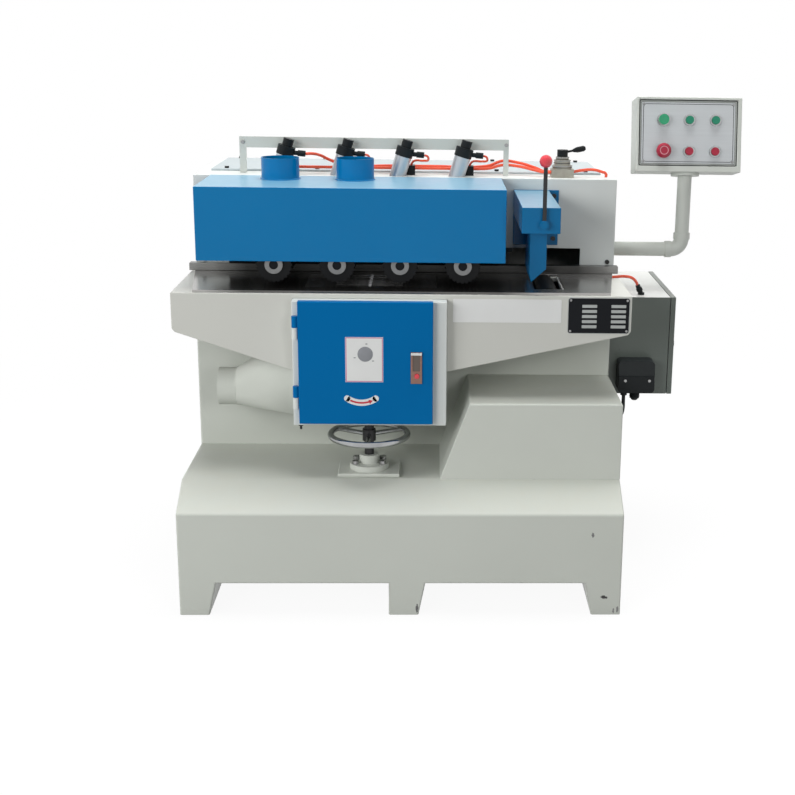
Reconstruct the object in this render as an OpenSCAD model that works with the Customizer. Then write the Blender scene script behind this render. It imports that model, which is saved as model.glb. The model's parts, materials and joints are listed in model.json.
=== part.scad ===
// Multi rip saw with four pressed feed rollers, a saw chamber under the table and a hand-lifted arbor.
// X runs along the feed, Y runs from the operator's front to the back, Z is up. Millimetres.

/* [Base] */
// half width of the base along the feed
base_half = 554; // [500:1:620]
// depth of the base, front to back
base_depth = 905; // [800:1:1000]
// height of the foot band with the fork gaps
foot_h = 84; // [60:1:120]
// height where the front face of the plinth ends
plinth_front_h = 268; // [220:1:300]
// height of the plinth top
plinth_h = 326; // [300:1:360]
// depth of the sloped front strip of the plinth
slope_y = 103; // [80:1:140]
// front face of the column
column_y = 401; // [380:1:430]
// sheet thickness of the base
base_wall = 6; // [4:0.5:8]

/* [Motor cover] */
// left edge of the motor cover at its foot
cover_foot_x = 95; // [60:1:120]
// left edge of the motor cover at its top
cover_top_x = 169; // [140:1:190]
// height of the motor cover top
cover_top_z = 525; // [512:1:560]
// bend radius of the motor cover
cover_bend = 22; // [10:1:30]

/* [Table] */
// reach of the table body past the column
wing_out = 19; // [14:1:60]
// front face of the table body
apron_y = 157; // [130:1:170]
// height of the table body top
body_top = 790; // [780:1:800]
// depth of the table wings at their ends
wing_h = 100; // [80:1:110]
// height of the apron bottom beside the saw chamber
apron_low = 592; // [570:1:620]
// wall of the table body
body_wall = 8; // [5:0.5:10]
// thickness of the table top sheet of the body
body_skin = 12; // [8:0.5:12]
// thickness of the steel table plate
plate_t = 6; // [4:0.5:8]
// front edge of the steel table plate
plate_y = 163; // [160:1:175]
// back edge of the steel table plate
plate_back = 468; // [460:1:469]
// half length of the plate at its front edge
plate_half_front = 519; // [500:1:540]
// half length of the plate at its back edge
plate_half_back = 562; // [545:1:567]
// height of the fence rail
rail_h = 20; // [14:1:24]
// depth of the fence rail
rail_d = 26; // [20:1:30]
// length of the throat plate
throat_l = 332; // [310:1:340]
// width of the throat plate across the feed
throat_w = 177; // [172:1:184]
// gap round the throat plate
throat_gap = 0.5; // [0.3:0.1:1]
// length of the bed roller slot along the feed
slot_l = 76; // [70:1:84]
// width of the bed roller slot across the feed
slot_w = 212; // [206:1:216]
// centre of the bed roller along the feed
bed_x = 370; // [362:1:378]
// radius of the bed roller
bed_r = 28; // [24:1:30]
// radius of the bed roller axle
bed_axle_r = 8; // [6:0.5:10]
// rise of the bed roller above the table plate
bed_rise = 1; // [0.5:0.1:2]

/* [Feed casing] */
// left end of the feed casing
casing_x0 = -559; // [-565:1:-550]
// right end of the feed casing
casing_x1 = 565; // [555:1:570]
// front face of the feed casing
casing_y = 470; // [470:1:476]
// top of the feed casing
casing_top = 1046; // [1035:1:1056]
// sheet thickness of the feed casing
casing_wall = 5; // [3:0.5:6]
// half length of the front window
window_half = 472; // [460:1:490]
// height of the window top
window_top = 860; // [850:1:862]
// inset of the top lid from the casing ends
lid_inset = 32; // [20:1:45]
// front edge of the top lid
lid_y = 576; // [572:1:590]
// back edge of the top lid
lid_back = 888; // [870:1:895]
// thickness of the top lid
lid_t = 6; // [4:0.5:8]

/* [Roller guard] */
// left end of the roller guard
guard_x0 = -513; // [-525:1:-500]
// right end of the roller guard
guard_x1 = 256; // [240:1:260]
// front face of the roller guard
guard_y = 195; // [185:1:200]
// lower edge of the roller guard
guard_z = 863; // [860:1:872]
// sheet thickness of the roller guard
guard_wall = 4; // [2:0.5:5]
// outside radius of the dust collars
collar_r = 49; // [45:0.5:52]
// wall of the dust collars
collar_wall = 2.5; // [2:0.5:4]
// height of the dust collars
collar_h = 55; // [40:1:70]
// centre of the left dust collar
collar_x0 = -321; // [-335:1:-310]
// distance between the dust collars
collar_pitch = 193; // [170:1:210]
// depth position of the dust collars
collar_y = 397; // [385:1:405]

/* [Press rollers] */
// centre of the first press roller
roller_x0 = -323; // [-330:1:-315]
// pitch of the press rollers
roller_pitch = 157.5; // [150:0.5:162]
// height of the press roller axis at rest
roller_z = 852; // [850:1:858]
// radius of the press rollers
roller_r = 45; // [40:1:46]
// number of flutes on a press roller
roller_flutes = 24; // [16:1:32]
// depth of the flutes
flute_d = 3; // [1:0.5:4]
// front end of the press roller drum
roller_y0 = 217; // [212:1:224]
// back end of the press roller drum
roller_y1 = 428; // [415:1:432]
// radius of the roller shaft
shaft_r = 15; // [12:0.5:18]
// radius of the bright ring on the roller end
ring_r = 22.5; // [20:0.5:25]
// lean of the press cylinders towards the infeed
lean = 16.7; // [10:0.1:20]
// distance from the roller axis to the cylinder axis at roller height
press_off = 71; // [66:1:76]
// depth position of the press cylinders
press_y = 500; // [498:1:504]
// upward stroke of the press slides
press_stroke = 45; // [30:1:48]
// radius of the cylinder barrel
barrel_r = 21.5; // [20:0.5:22]
// radius of the cylinder bore
cyl_bore_r = 17; // [15:0.5:18]
// radius of the piston rod
rod_r = 10; // [8:0.5:12]
// running clearance of shafts in their bores
run_gap = 0.05; // [0.02:0.01:0.08]
// visible length of the barrel above the casing
barrel_up = 54; // [48:1:60]
// radius of the black end collar
cap_r = 23.5; // [23:0.5:25]
// length of the black end collar
cap_l = 24; // [20:1:28]
// radius of the black tail on the collar
tail_r = 14; // [12:0.5:16]
// length of the black tail
tail_l = 20; // [16:1:26]

/* [Cylinder rail and air] */
// left end of the cylinder rail
crail_x0 = -443; // [-450:1:-435]
// right end of the cylinder rail
crail_x1 = 277; // [265:1:285]
// height of the rail top above the casing
crail_up = 96; // [85:1:110]
// height of the rail bar
crail_h = 29; // [22:1:34]
// thickness of the rail bar
crail_t = 6; // [4:0.5:8]
// depth position of the rail
crail_y = 530; // [527:1:532]
// radius of the air tubes
tube_r = 4; // [3:0.5:4.5]
// depth position of the tube run
run_y = 546; // [543:1:550]
// height of the tube run above the casing
run_z = 16; // [14:1:22]
// centre of the hand valve along the feed
valve_x = 421; // [415:1:430]
// depth position of the hand valve
valve_y = 517; // [510:1:525]
// width of the hand valve base
valve_w = 60; // [54:1:64]
// length of the hand valve lever
valve_lever_l = 62; // [50:1:70]

/* [Kickback unit] */
// left side of the kickback hood
hood_x0 = 289; // [284:1:294]
// right side of the kickback hood
hood_x1 = 383; // [378:1:390]
// front face of the kickback hood
hood_y = 104; // [95:1:115]
// lower edge of the kickback hood
hood_z = 952; // [945:1:955]
// top of the kickback hood
hood_top = 1015; // [1005:1:1022]
// sheet thickness of the kickback hood
hood_wall = 4; // [3:0.5:5]
// axis of the kickback shaft along the feed
kick_x = 342; // [338:1:346]
// axis height of the kickback shaft
kick_z = 975; // [972:1:978]
// radius of the kickback shaft
kick_r = 8; // [7:0.5:9]
// number of kickback fingers
finger_n = 8; // [5:1:9]
// thickness of one finger
finger_t = 8; // [5:0.5:10]
// pitch of the fingers
finger_pitch = 22; // [19:1:23]
// first finger position across the feed
finger_y = 252; // [245:1:260]
// height of the finger tip
finger_tip_z = 806; // [803:1:812]
// radius of the lever rod
lever_r = 5; // [4:0.5:6]
// radius of the red lever ball
ball_r = 15.5; // [14:0.5:18]
// height of the lever ball centre above the shaft
ball_up = 152; // [140:1:160]

/* [Saw chamber] */
// left side of the saw chamber
chamber_x0 = -272; // [-278:1:-271]
// right side of the saw chamber
chamber_x1 = 110; // [104:1:116]
// front face of the saw chamber frame
chamber_y = 120; // [112:1:124]
// bottom of the saw chamber
chamber_z = 462; // [455:1:468]
// wall of the saw chamber
chamber_wall = 5; // [4:0.5:6]
// width of the chamber door
door_w = 332; // [326:1:336]
// height of the chamber door
door_h = 310; // [300:1:314]
// left edge of the chamber door
door_x = -256; // [-257:0.5:-253]
// lower edge of the chamber door
door_z = 471; // [466:1:474]
// depth of the door pan
door_t = 20; // [16:1:24]
// gap between the door and the frame
door_gap = 1; // [0.5:0.1:2]
// sheet thickness of the door
door_sheet = 3; // [2:0.5:4]
// radius of the hinge knuckles
knuckle_r = 7.5; // [6:0.1:7.6]
// radius of the hinge pins
pin_r = 4; // [3:0.5:5]
// length of a hinge knuckle
knuckle_l = 28.5; // [24:0.5:32]
// width of the latch
latch_w = 28; // [24:1:32]
// height of the latch
latch_h = 80; // [70:1:90]
// radius of the latch button
latch_btn_r = 6; // [5:0.5:7]
// outside radius of the dust outlet
outlet_r = 49; // [42:0.5:50]
// wall of the dust outlet
outlet_wall = 2.5; // [2:0.5:4]
// reach of the dust outlet to the left of the chamber
outlet_reach = 209; // [180:1:225]
// straight length of the dust outlet
outlet_stub = 46; // [40:1:60]
// height of the dust outlet axis
outlet_z = 517; // [514:1:525]
// depth position of the dust outlet axis
outlet_y = 296; // [280:1:310]
// side of the square end of the dust chute
chute_side = 190; // [150:1:200]

/* [Arbor and drive] */
// arbor axis along the feed
arbor_x = -86; // [-89:1:-83]
// arbor axis height at rest
arbor_z = 684; // [680:1:686]
// radius of the arbor
arbor_r = 20; // [17:0.5:22]
// radius of the saw blades
blade_r = 115; // [105:1:115]
// thickness of a saw blade
blade_t = 3; // [2.5:0.1:4]
// number of saw blades
blade_n = 6; // [3:1:6]
// number of teeth on a blade
teeth_n = 24; // [18:1:30]
// length of the spacers between the blades
spacer_l = 24; // [20:1:24]
// radius of the blade spacers
spacer_r = 34; // [30:1:40]
// rear clamping face of the blade pack
pack_y = 385; // [380:1:388]
// radius of the spindle housing
spindle_r = 58; // [50:1:60]
// thickness of the carriage plate
carriage_t = 16; // [12:1:20]
// front face of the carriage plate
carriage_y = 484; // [480:1:490]
// radius of the guide posts
post_r = 15; // [12:0.5:18]
// half distance between the guide posts
post_half = 150; // [140:1:160]
// depth position of the guide posts
post_y = 535; // [532:1:540]
// motor axis along the feed
motor_x = 350; // [340:1:360]
// motor axis height at rest
motor_z = 385; // [380:1:390]
// radius of the motor body
motor_r = 105; // [95:1:108]
// front end of the motor
motor_y = 150; // [140:1:170]
// radius of the motor shaft
motor_shaft_r = 19; // [16:0.5:22]
// radius of the arbor pulley
pulley_a_r = 60; // [55:1:65]
// radius of the motor pulley
pulley_m_r = 75; // [70:1:80]
// first belt position across the feed
pulley_y = 585; // [580:1:590]
// length of the pulleys
pulley_l = 60; // [56:1:66]
// number of belts
belt_n = 3; // [2:1:3]
// radius of the lifting screw
screw_r = 12; // [10:0.5:14]
// depth position of the lifting screw
screw_y = 172; // [166:1:178]
// outside radius of the handwheel
wheel_r = 106; // [95:1:110]
// radius of the handwheel rim section
wheel_rim = 8; // [6:0.5:10]
// height of the handwheel as a share of the space between plinth and chamber
wheel_share = 0.72; // [0.66:0.01:0.78]
// side of the square bearing plate
bearing_side = 156; // [140:1:165]

/* [Control panel] */
// centre of the control box along the feed
panel_x = 770; // [760:1:790]
// width of the control box
panel_w = 288; // [270:1:300]
// height of the control box
panel_h = 201; // [195:1:215]
// depth of the control box
panel_d = 100; // [80:1:120]
// height of the control box centre
panel_z = 1159; // [1145:1:1170]
// lean of the control box
panel_tilt = 10; // [5:1:15]
// column pitch of the buttons
button_pitch = 71.5; // [64:0.5:76]
// height of the lower button row on the panel
row_low = -45; // [-50:1:-40]
// height of the upper button row on the panel
row_high = 39; // [34:1:44]
// radius of the button caps
button_r = 11; // [9:0.5:12]
// width of the bezel ring round a button
bezel_w = 3.5; // [3:0.5:5]
// gap between a cap and its bezel
button_gap = 0.6; // [0.4:0.1:1]
// radius of the stop mushroom
stop_r = 20; // [17:0.5:22]
// radius of the arm pipe
pipe_r = 19.5; // [16:0.5:21]
// depth position of the arm pipe
pipe_y = 600; // [595:1:620]
// height of the horizontal arm pipe
pipe_z = 840; // [830:1:850]

/* [Cabinet] */
// depth of the cabinet from the column to its door seam
cab_w = 170; // [150:1:180]
// front face of the electrical cabinet
cab_y = 461; // [450:1:470]
// length of the electrical cabinet
cab_l = 409; // [390:1:420]
// bottom of the electrical cabinet
cab_z = 457; // [445:1:470]
// height of the electrical cabinet
cab_h = 272; // [255:1:290]
// wall of the electrical cabinet
cab_wall = 3; // [2:0.5:4]
// thickness of the cabinet door
cab_door_t = 14; // [12:1:16]
// gap between the cabinet and its door
cab_gap = 1.2; // [0.8:0.1:2]
// width of the black connector box
conn_w = 100; // [92:1:108]
// height of the black connector box
conn_h = 88; // [80:1:96]
// depth of the black connector box
conn_d = 56; // [45:1:65]
// radius of the motor cable
cable_r = 5; // [4:0.5:6]

/* [Hidden] */
$fn = 48;
big = 400;
gland_s = -118;
column_h = body_top - wing_h;
table_half = base_half + wing_out;
x_mid = (panel_x + panel_w / 2 - table_half) / 2;
y_mid = base_depth / 2;
plate_top = body_top + plate_t;
skin_z = body_top - body_skin;
throat_x = (chamber_x0 + chamber_x1) / 2 - 1;
throat_y0 = pack_y + 12 - throat_w;
slot_y0 = throat_y0 - 8;
bed_z = plate_top + bed_rise - bed_r;
rail_y = casing_y - 4 - rail_d;
tan_l = tan(lean);
cos_l = cos(lean);
roller_off_top = (casing_top - roller_z) * tan_l;
function roller_x(i) = roller_x0 + i * roller_pitch;
function press_x(i) = roller_x(i) - press_off + roller_off_top;
function blade_y(i) = pack_y - blade_t - i * (blade_t + spacer_l);
pack_front = blade_y(blade_n - 1);
door_y = chamber_y - door_gap - door_t;
hinge_x = door_x - 8;
hinge_y = door_y + door_t / 2;
hinge_z1 = door_z + door_h - 66;
hinge_z2 = door_z + 66.5;
latch_x = door_x + door_w - 27 - latch_w / 2;
latch_z = door_z + door_h / 2 - 9;
wheel_z = plinth_h + (chamber_z - plinth_h) * wheel_share;
panel_y = pipe_y - panel_d / 2 * cos(panel_tilt) + panel_h / 2 * sin(panel_tilt);
flange_z = panel_z - panel_d / 2 * sin(panel_tilt) - panel_h / 2 * cos(panel_tilt);
elbow_r = 30;
cab_x0 = base_half;
cab_x1 = cab_x0 + cab_w;
chute_z = chamber_z + 4;
cab_door_x = cab_x1 + cab_gap;
cab_hinge_x = cab_x1 + cab_gap / 2;
cab_hinge_y = cab_y + cab_l + 6;
cab_hinge_z = [cab_z + 50, cab_z + cab_h - 50];
conn_x = base_half + 28;
conn_z = cab_z + 16;
supply_x = cab_x0 + 94;
supply_y = 500;
supply_lean = 25;
cable_x = conn_x + 20;
cable_y = cab_y - conn_d / 2;
run_top = casing_top + run_z;

module shift() translate([-x_mid, -y_mid, 0]) children();

module blk(x0, x1, y0, y1, z0, z1)
  translate([x0, y0, z0]) cube([x1 - x0, y1 - y0, z1 - z0]);

module ycyl(x, z, y0, y1, r)
  translate([x, y0, z]) rotate([-90, 0, 0]) cylinder(h = y1 - y0, r = r);

module xcyl(y, z, x0, x1, r)
  translate([x0, y, z]) rotate([0, 90, 0]) cylinder(h = x1 - x0, r = r);

module zcyl(x, y, z0, z1, r)
  translate([x, y, z0]) cylinder(h = z1 - z0, r = r);

// profile drawn in X and Z, swept along Y
module prism_y(pts, y0, y1)
  translate([0, y1, 0]) rotate([90, 0, 0]) linear_extrude(y1 - y0) polygon(pts);

// profile drawn in Y and Z, swept along X
module prism_x(pts, x0, x1)
  translate([x0, 0, 0]) rotate([90, 0, 90]) linear_extrude(x1 - x0) polygon(pts);

function arc(cx, cy, r, a0, a1, n) =
  [for (k = [0:n]) [cx + r * cos(a0 + (a1 - a0) * k / n), cy + r * sin(a0 + (a1 - a0) * k / n)]];

function unit(v) = v / norm(v);
function spline(p, i, t) =
  let (a = p[max(i - 1, 0)], b = p[i], c = p[i + 1], d = p[min(i + 2, len(p) - 1)])
  0.5 * (2 * b + (c - a) * t + (2 * a - 5 * b + 4 * c - d) * t * t + (3 * b - a - 3 * c + d) * t * t * t);
function smooth(p, n) =
  concat([for (i = [0:len(p) - 2]) for (k = [0:n - 1]) spline(p, i, k / n)], [p[len(p) - 1]]);

// round tube swept through a row of points
module sweep(path, r, sides = 10) {
  m = len(path);
  tan_at = [for (i = [0:m - 1]) unit(path[min(i + 1, m - 1)] - path[max(i - 1, 0)])];
  side_at = [for (t = tan_at) unit(cross(t, [0.13, 0.21, 0.97] - t * 0.5))];
  pts = [for (i = [0:m - 1]) for (k = [0:sides - 1])
    path[i] + r * (cos(360 * k / sides) * side_at[i] + sin(360 * k / sides) * cross(tan_at[i],
      side_at[i]))];
  faces = concat(
    [[for (k = [0:sides - 1]) k]],
    [for (i = [0:m - 2]) for (k = [0:sides - 1])
      [i * sides + k, (i + 1) * sides + k, (i + 1) * sides + (k + 1) % sides, i * sides + (k + 1) % sides]],
    [[for (k = [sides - 1:-1:0]) (m - 1) * sides + k]]);
  polyhedron(pts, faces, convexity = 6);
}

// welded plinth and column of bent sheet
module base_frame() color([0.86, 0.87, 0.86]) {
  foot = [[-base_half, -480, -462, -base_half], [-32, 43, 60, -32], [479, base_half, base_half, 461]];
  difference() {
    union() {
      prism_x([[0, foot_h], [0, plinth_front_h], [slope_y, plinth_h], [base_depth, plinth_h],
        [base_depth, foot_h]], -base_half, base_half);
      blk(-base_half, base_half, column_y, base_depth, plinth_h - 1, column_h);
      for (f = foot)
        prism_y([[f[0], 0], [f[1], 0], [f[2], foot_h + 1], [f[3], foot_h + 1]], 0, base_depth);
    }
    prism_x([[base_wall, foot_h + base_wall], [base_wall, plinth_front_h - 2],
      [slope_y + 2, plinth_h - base_wall], [base_depth - base_wall, plinth_h - base_wall],
      [base_depth - base_wall, foot_h + base_wall]], -base_half + base_wall, base_half - base_wall);
    blk(-base_half + base_wall, base_half - base_wall, column_y + base_wall, base_depth - base_wall,
      plinth_h, column_h + 1);
    for (f = foot)
      blk(max(f[0], f[3]) + base_wall, min(f[1], f[2]) - base_wall, base_wall, base_depth - base_wall,
        -1, foot_h - 2);
    blk(motor_x - motor_r - 60, motor_x + motor_r + 45, slope_y + 12, pulley_y + pulley_l + 30,
      plinth_h - base_wall - 1, plinth_h + 1);
    blk(motor_x - motor_r - 30, motor_x + motor_r + 45, column_y - 1, column_y + base_wall + 1,
      plinth_h - 1, cover_top_z - 6);
    blk(chamber_x0 + chamber_wall, chamber_x1 - chamber_wall, column_y - 1, column_y + base_wall + 1,
      chamber_z + chamber_wall, column_h + 1);
  }
}

// bent sheet cover over the motor, in front of the column
module motor_cover() color([0.86, 0.87, 0.86]) {
  b = cover_bend;
  w = 4;
  slant = atan2(cover_top_z - plinth_h, cover_top_x - cover_foot_x);
  front = concat([[cover_foot_x, plinth_h], [base_half, plinth_h]],
    arc(base_half - b, cover_top_z - b, b, 0, 90, 6),
    arc(cover_top_x + b * tan((180 - slant) / 2 - 20), cover_top_z - b, b, 90, 90 + slant, 5));
  inner = concat([[cover_foot_x + w + 2, plinth_h - 1], [base_half - w, plinth_h - 1]],
    arc(base_half - b, cover_top_z - b, b - w, 0, 90, 6),
    arc(cover_top_x + b * tan((180 - slant) / 2 - 20), cover_top_z - b, b - w, 90, 90 + slant, 5));
  side = concat([[slope_y, plinth_h], [column_y, plinth_h], [column_y, cover_top_z]],
    arc(slope_y + b, cover_top_z - b, b, 90, 180, 6));
  side_in = concat([[slope_y + w, plinth_h - 1], [column_y + 1, plinth_h - 1],
    [column_y + 1, cover_top_z - w]],
    arc(slope_y + b, cover_top_z - b, b - w, 90, 180, 6));
  difference() {
    intersection() {
      prism_y(front, slope_y, column_y);
      prism_x(side, cover_foot_x - 5, base_half + 5);
    }
    intersection() {
      prism_y(inner, slope_y, column_y + 1);
      prism_x(side_in, cover_foot_x - 5, base_half + 5);
    }
  }
}

// table body: two hollow wings beside the saw chamber and a rear slab on the column
module table_body() color([0.9, 0.91, 0.9]) {
  w = body_wall;
  low = body_top - wing_h;
  difference() {
    union() {
      prism_y([[-table_half, body_top], [-table_half, low + 10], [-table_half + 8, low],
        [chamber_x0, apron_low], [chamber_x1, apron_low], [table_half - 8, low],
        [table_half, low + 10], [table_half, body_top]], apron_y, column_y);
      blk(-table_half, base_half, column_y - 1, base_depth, column_h, body_top);
    }
    prism_y([[-table_half + w, skin_z], [-table_half + w, low - 30], [chamber_x0, apron_low - 60],
      [chamber_x0, skin_z]], apron_y + w, column_y - 1);
    prism_y([[table_half - w, skin_z], [table_half - w, low + 12], [table_half - 12, low + 7],
      [chamber_x1 + w, apron_low + 10], [chamber_x1 + w, skin_z]], apron_y + w, column_y - w);
    blk(chamber_x1 + w, base_half - w, column_y - w - 1, column_y + w + 1, column_h + w + 4, skin_z);
    blk(chamber_x0, chamber_x1, apron_y - 1, column_y, apron_low - 20, skin_z);
    blk(-table_half + w, base_half - w, column_y + w, base_depth - w, column_h + w, skin_z);
    blk(-base_half + 15, base_half - 15, column_y + w, base_depth - 15, column_h - 1, column_h + w + 1);
    blk(chamber_x0 + chamber_wall, chamber_x1 - chamber_wall, column_y - 2, column_y + w + 1,
      column_h - 1, skin_z);
    blk(throat_x - throat_l / 2 + 6, throat_x + throat_l / 2 - 6, throat_y0 + 6, throat_y0 + throat_w - 6,
      skin_z - 1, body_top + 1);
    blk(bed_x - slot_l / 2 + 2, bed_x + slot_l / 2 - 2, slot_y0 + 2, slot_y0 + slot_w - 2,
      skin_z - 1, body_top + 1);
  }
  for (y = [slot_y0 - 10, slot_y0 + slot_w - 2])
    difference() {
      blk(bed_x - 22, bed_x + 22, y, y + 12, bed_z - 22, skin_z + 1);
      ycyl(bed_x, bed_z, y - 1, y + 13, bed_axle_r + run_gap);
    }
}

// ground steel table plate
module table_plate() color([0.55, 0.56, 0.57])
  difference() {
    translate([0, 0, body_top]) linear_extrude(plate_t)
      polygon([[-plate_half_front, plate_y], [plate_half_front, plate_y],
        [plate_half_back, plate_back], [-plate_half_back, plate_back]]);
    blk(throat_x - throat_l / 2 - throat_gap, throat_x + throat_l / 2 + throat_gap,
      throat_y0 - throat_gap, throat_y0 + throat_w + throat_gap, body_top - 1, plate_top + 1);
    blk(bed_x - slot_l / 2, bed_x + slot_l / 2, slot_y0, slot_y0 + slot_w, body_top - 1, plate_top + 1);
  }

// throat plate with one slot for each blade
module throat_plate() color([0.68, 0.69, 0.7])
  difference() {
    blk(throat_x - throat_l / 2, throat_x + throat_l / 2, throat_y0, throat_y0 + throat_w,
      body_top, plate_top);
    for (i = [0:blade_n - 1])
      blk(arbor_x - 84, arbor_x + 84, blade_y(i) - 2.5, blade_y(i) + blade_t + 2.5,
        body_top - 1, plate_top + 1);
    for (s = [-1, 1])
      zcyl(throat_x + s * (throat_l / 2 - 14), throat_y0 + throat_w / 2, body_top - 1, plate_top + 1, 4);
  }

// straight fence rail behind the table
module fence_rail() color([0.6, 0.61, 0.62])
  blk(-table_half, table_half, rail_y, rail_y + rail_d, plate_top, plate_top + rail_h);

// sheet casing that holds the press gear
module feed_casing() color([0.92, 0.92, 0.91]) {
  w = casing_wall;
  difference() {
    blk(casing_x0, casing_x1, casing_y, base_depth, body_top, casing_top);
    blk(casing_x0 + w, casing_x1 - w, casing_y + w, base_depth - w, body_top + w, casing_top - w);
    blk(-window_half, window_half, casing_y - 1, casing_y + w + 1, plate_top + rail_h - 6, window_top);
    for (i = [0:3])
      translate([roller_x(i), casing_y - 1, roller_z]) rotate([0, lean, 0])
        translate([-shaft_r - 6, 0, -shaft_r - 6])
          cube([2 * shaft_r + 12, w + 2, press_stroke + 2 * shaft_r + 12]);
    for (i = [0:3])
      translate([press_x(i), press_y, casing_top]) rotate([0, lean, 0])
        translate([0, 0, -20]) cylinder(h = 40, r = barrel_r + 0.3);
  }
}

// screwed lid on the casing
module casing_lid() color([0.9, 0.91, 0.91])
  blk(casing_x0 + lid_inset, casing_x1 - lid_inset, lid_y, lid_back, casing_top, casing_top + lid_t);

// blue guard over the press rollers with two welded dust collars
module roller_guard() color([0.07, 0.42, 0.68]) {
  w = guard_wall;
  difference() {
    blk(guard_x0, guard_x1, guard_y, casing_y, guard_z, casing_top);
    blk(guard_x0 + w, guard_x1 - w, guard_y + w, casing_y + 1, guard_z - 1, casing_top - w);
    for (k = [0, 1])
      zcyl(collar_x0 + k * collar_pitch, collar_y, casing_top - w - 1, casing_top + 1,
        collar_r - collar_wall);
  }
  for (k = [0, 1])
    difference() {
      zcyl(collar_x0 + k * collar_pitch, collar_y, casing_top - 1, casing_top + collar_h, collar_r);
      zcyl(collar_x0 + k * collar_pitch, collar_y, casing_top - w - 2, casing_top + collar_h + 1,
        collar_r - collar_wall);
    }
}

// flat bar on two legs behind the cylinders
module cylinder_rail() color([0.8, 0.82, 0.81]) {
  blk(crail_x0, crail_x1, crail_y, crail_y + crail_t, casing_top + crail_up - crail_h,
    casing_top + crail_up);
  blk(crail_x0, crail_x0 + 18, crail_y, crail_y + crail_t, casing_top, casing_top + crail_up - crail_h + 1);
  blk(crail_x1 - 14, crail_x1, crail_y, crail_y + crail_t, casing_top, casing_top + crail_up - crail_h + 1);
}

// frame of one press cylinder: origin where its axis meets the casing top, Z along the axis
module on_press(i)
  translate([press_x(i), press_y, casing_top]) rotate([0, lean, 0]) children();

// silver cylinder barrels
module cylinder_barrels() color([0.78, 0.8, 0.82])
  for (i = [0:3])
    on_press(i)
      difference() {
        translate([0, 0, gland_s]) cylinder(h = barrel_up - gland_s, r = barrel_r);
        translate([0, 0, gland_s + 14]) cylinder(h = barrel_up - gland_s - 20, r = cyl_bore_r + run_gap);
        translate([0, 0, gland_s - 1]) cylinder(h = 20, r = rod_r + run_gap);
      }

// black end collars, tails and push-in fittings
module cylinder_caps() color([0.12, 0.13, 0.14]) {
  for (i = [0:3])
    on_press(i) {
      translate([0, 0, barrel_up]) cylinder(h = cap_l, r = cap_r);
      translate([0, 0, barrel_up + cap_l - 1]) cylinder(h = tail_l + 1, r = tail_r);
      translate([cap_r - 3, 0, barrel_up + cap_l / 2]) rotate([0, 78, 0]) {
        cylinder(h = 13, r = 6);
        translate([0, 0, 12]) cylinder(h = 20, r = 8);
      }
    }
  for (i = [0:3])
    difference() {
      blk(press_x(i) + 24, press_x(i) + 46, run_y - 26, run_y + 9, casing_top, run_top + 9);
      xcyl(run_y, run_top, press_x(i) + 20, press_x(i) + 50, tube_r + 0.2);
    }
  translate([supply_x, supply_y, cab_z + cab_h]) {
    cylinder(h = 6, r = 9);
    translate([0, 0, 3]) rotate([0, -supply_lean, 0]) {
      cylinder(h = 26, r = 6.5);
      translate([0, 0, 8]) cylinder(h = 9, r = 8.5);
    }
  }
}

// red air tubes along their real run
module air_lines() color([0.9, 0.16, 0.1]) {
  x1 = press_x(0);
  x4 = press_x(3);
  z = casing_top;
  vl = valve_x - valve_w / 2;
  vr = valve_x + valve_w / 2;
  fx = (cap_r - 3 + 32 * sin(78)) * cos_l + (barrel_up + cap_l / 2 + 32 * cos(78)) * sin(lean) + 0.4;
  fz = (barrel_up + cap_l / 2 + 32 * cos(78)) * cos_l - (cap_r - 3 + 32 * sin(78)) * sin(lean);
  sweep(concat([[x1 + 20, run_y, run_top], [x4 + 60, run_y, run_top]],
    smooth([[x4 + 90, run_y, run_top + 2], [x4 + 125, run_y, run_top + 12],
      [x4 + 165, run_y - 4, run_top + 10],
      [x4 + 215, run_y - 22, run_top], [vl - 18, valve_y - 10, run_top - 3],
      [vl - 0.4, valve_y - 10, run_top - 3]], 3)), tube_r);
  sweep(concat(smooth([[x1 + fx, press_y, z + fz], [x1 + fx + 14, press_y + 4, z + fz + 1],
    [x1 + fx + 36, press_y + 30, z + fz - 6], [x1 + fx + 58, run_y + 6, z + 36],
      [x1 + fx + 84, run_y + 13, z + 26],
    [x1 + fx + 110, run_y + 14, run_top + 4]], 3),
    smooth([[x4 + 60, run_y + 14, run_top + 4], [x4 + 90, run_y + 13, run_top + 8],
      [x4 + 125, run_y + 10, run_top + 22],
      [x4 + 165, run_y + 4, run_top + 19], [x4 + 215, run_y - 8, run_top + 5],
        [vl - 18, valve_y + 10, run_top - 3],
      [vl - 0.4, valve_y + 10, run_top - 3]], 3)), tube_r);
  for (i = [1:3])
    let (x = press_x(i))
      sweep(smooth([[x + fx, press_y, z + fz], [x + fx + 9, press_y + 1, z + fz - 3],
        [x + fx + 11, press_y + 8, z + fz - 14],
        [x + fx - 2, press_y + 20, z + fz - 16], [x + 38, press_y + 30, run_top + 20],
          [x + 35, press_y + 32, run_top + 9.4]], 3),
        tube_r - 1);
  sweep(smooth([[vr + 0.4, valve_y, run_top - 2], [vr + 22, valve_y, run_top + 2],
    [vr + 52, valve_y + 4, run_top + 5], [vr + 80, valve_y + 8, run_top - 2],
      [vr + 90, valve_y + 9, z + 10],
    [vr + 91, valve_y + 9, z + 0.4]], 3), tube_r);
  sx = supply_x - 26.8 * sin(supply_lean);
  sz = cab_z + cab_h + 3 + 26.8 * cos(supply_lean);
  sweep(smooth([[base_half + 0.4, supply_y, body_top - 14], [base_half + 20, supply_y, body_top - 13],
    [base_half + 46, supply_y, body_top - 11], [sx - 15, supply_y, sz + 18],
    [sx - 3.4, supply_y, sz + 7.3], [sx, supply_y, sz]], 3), tube_r);
}

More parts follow.
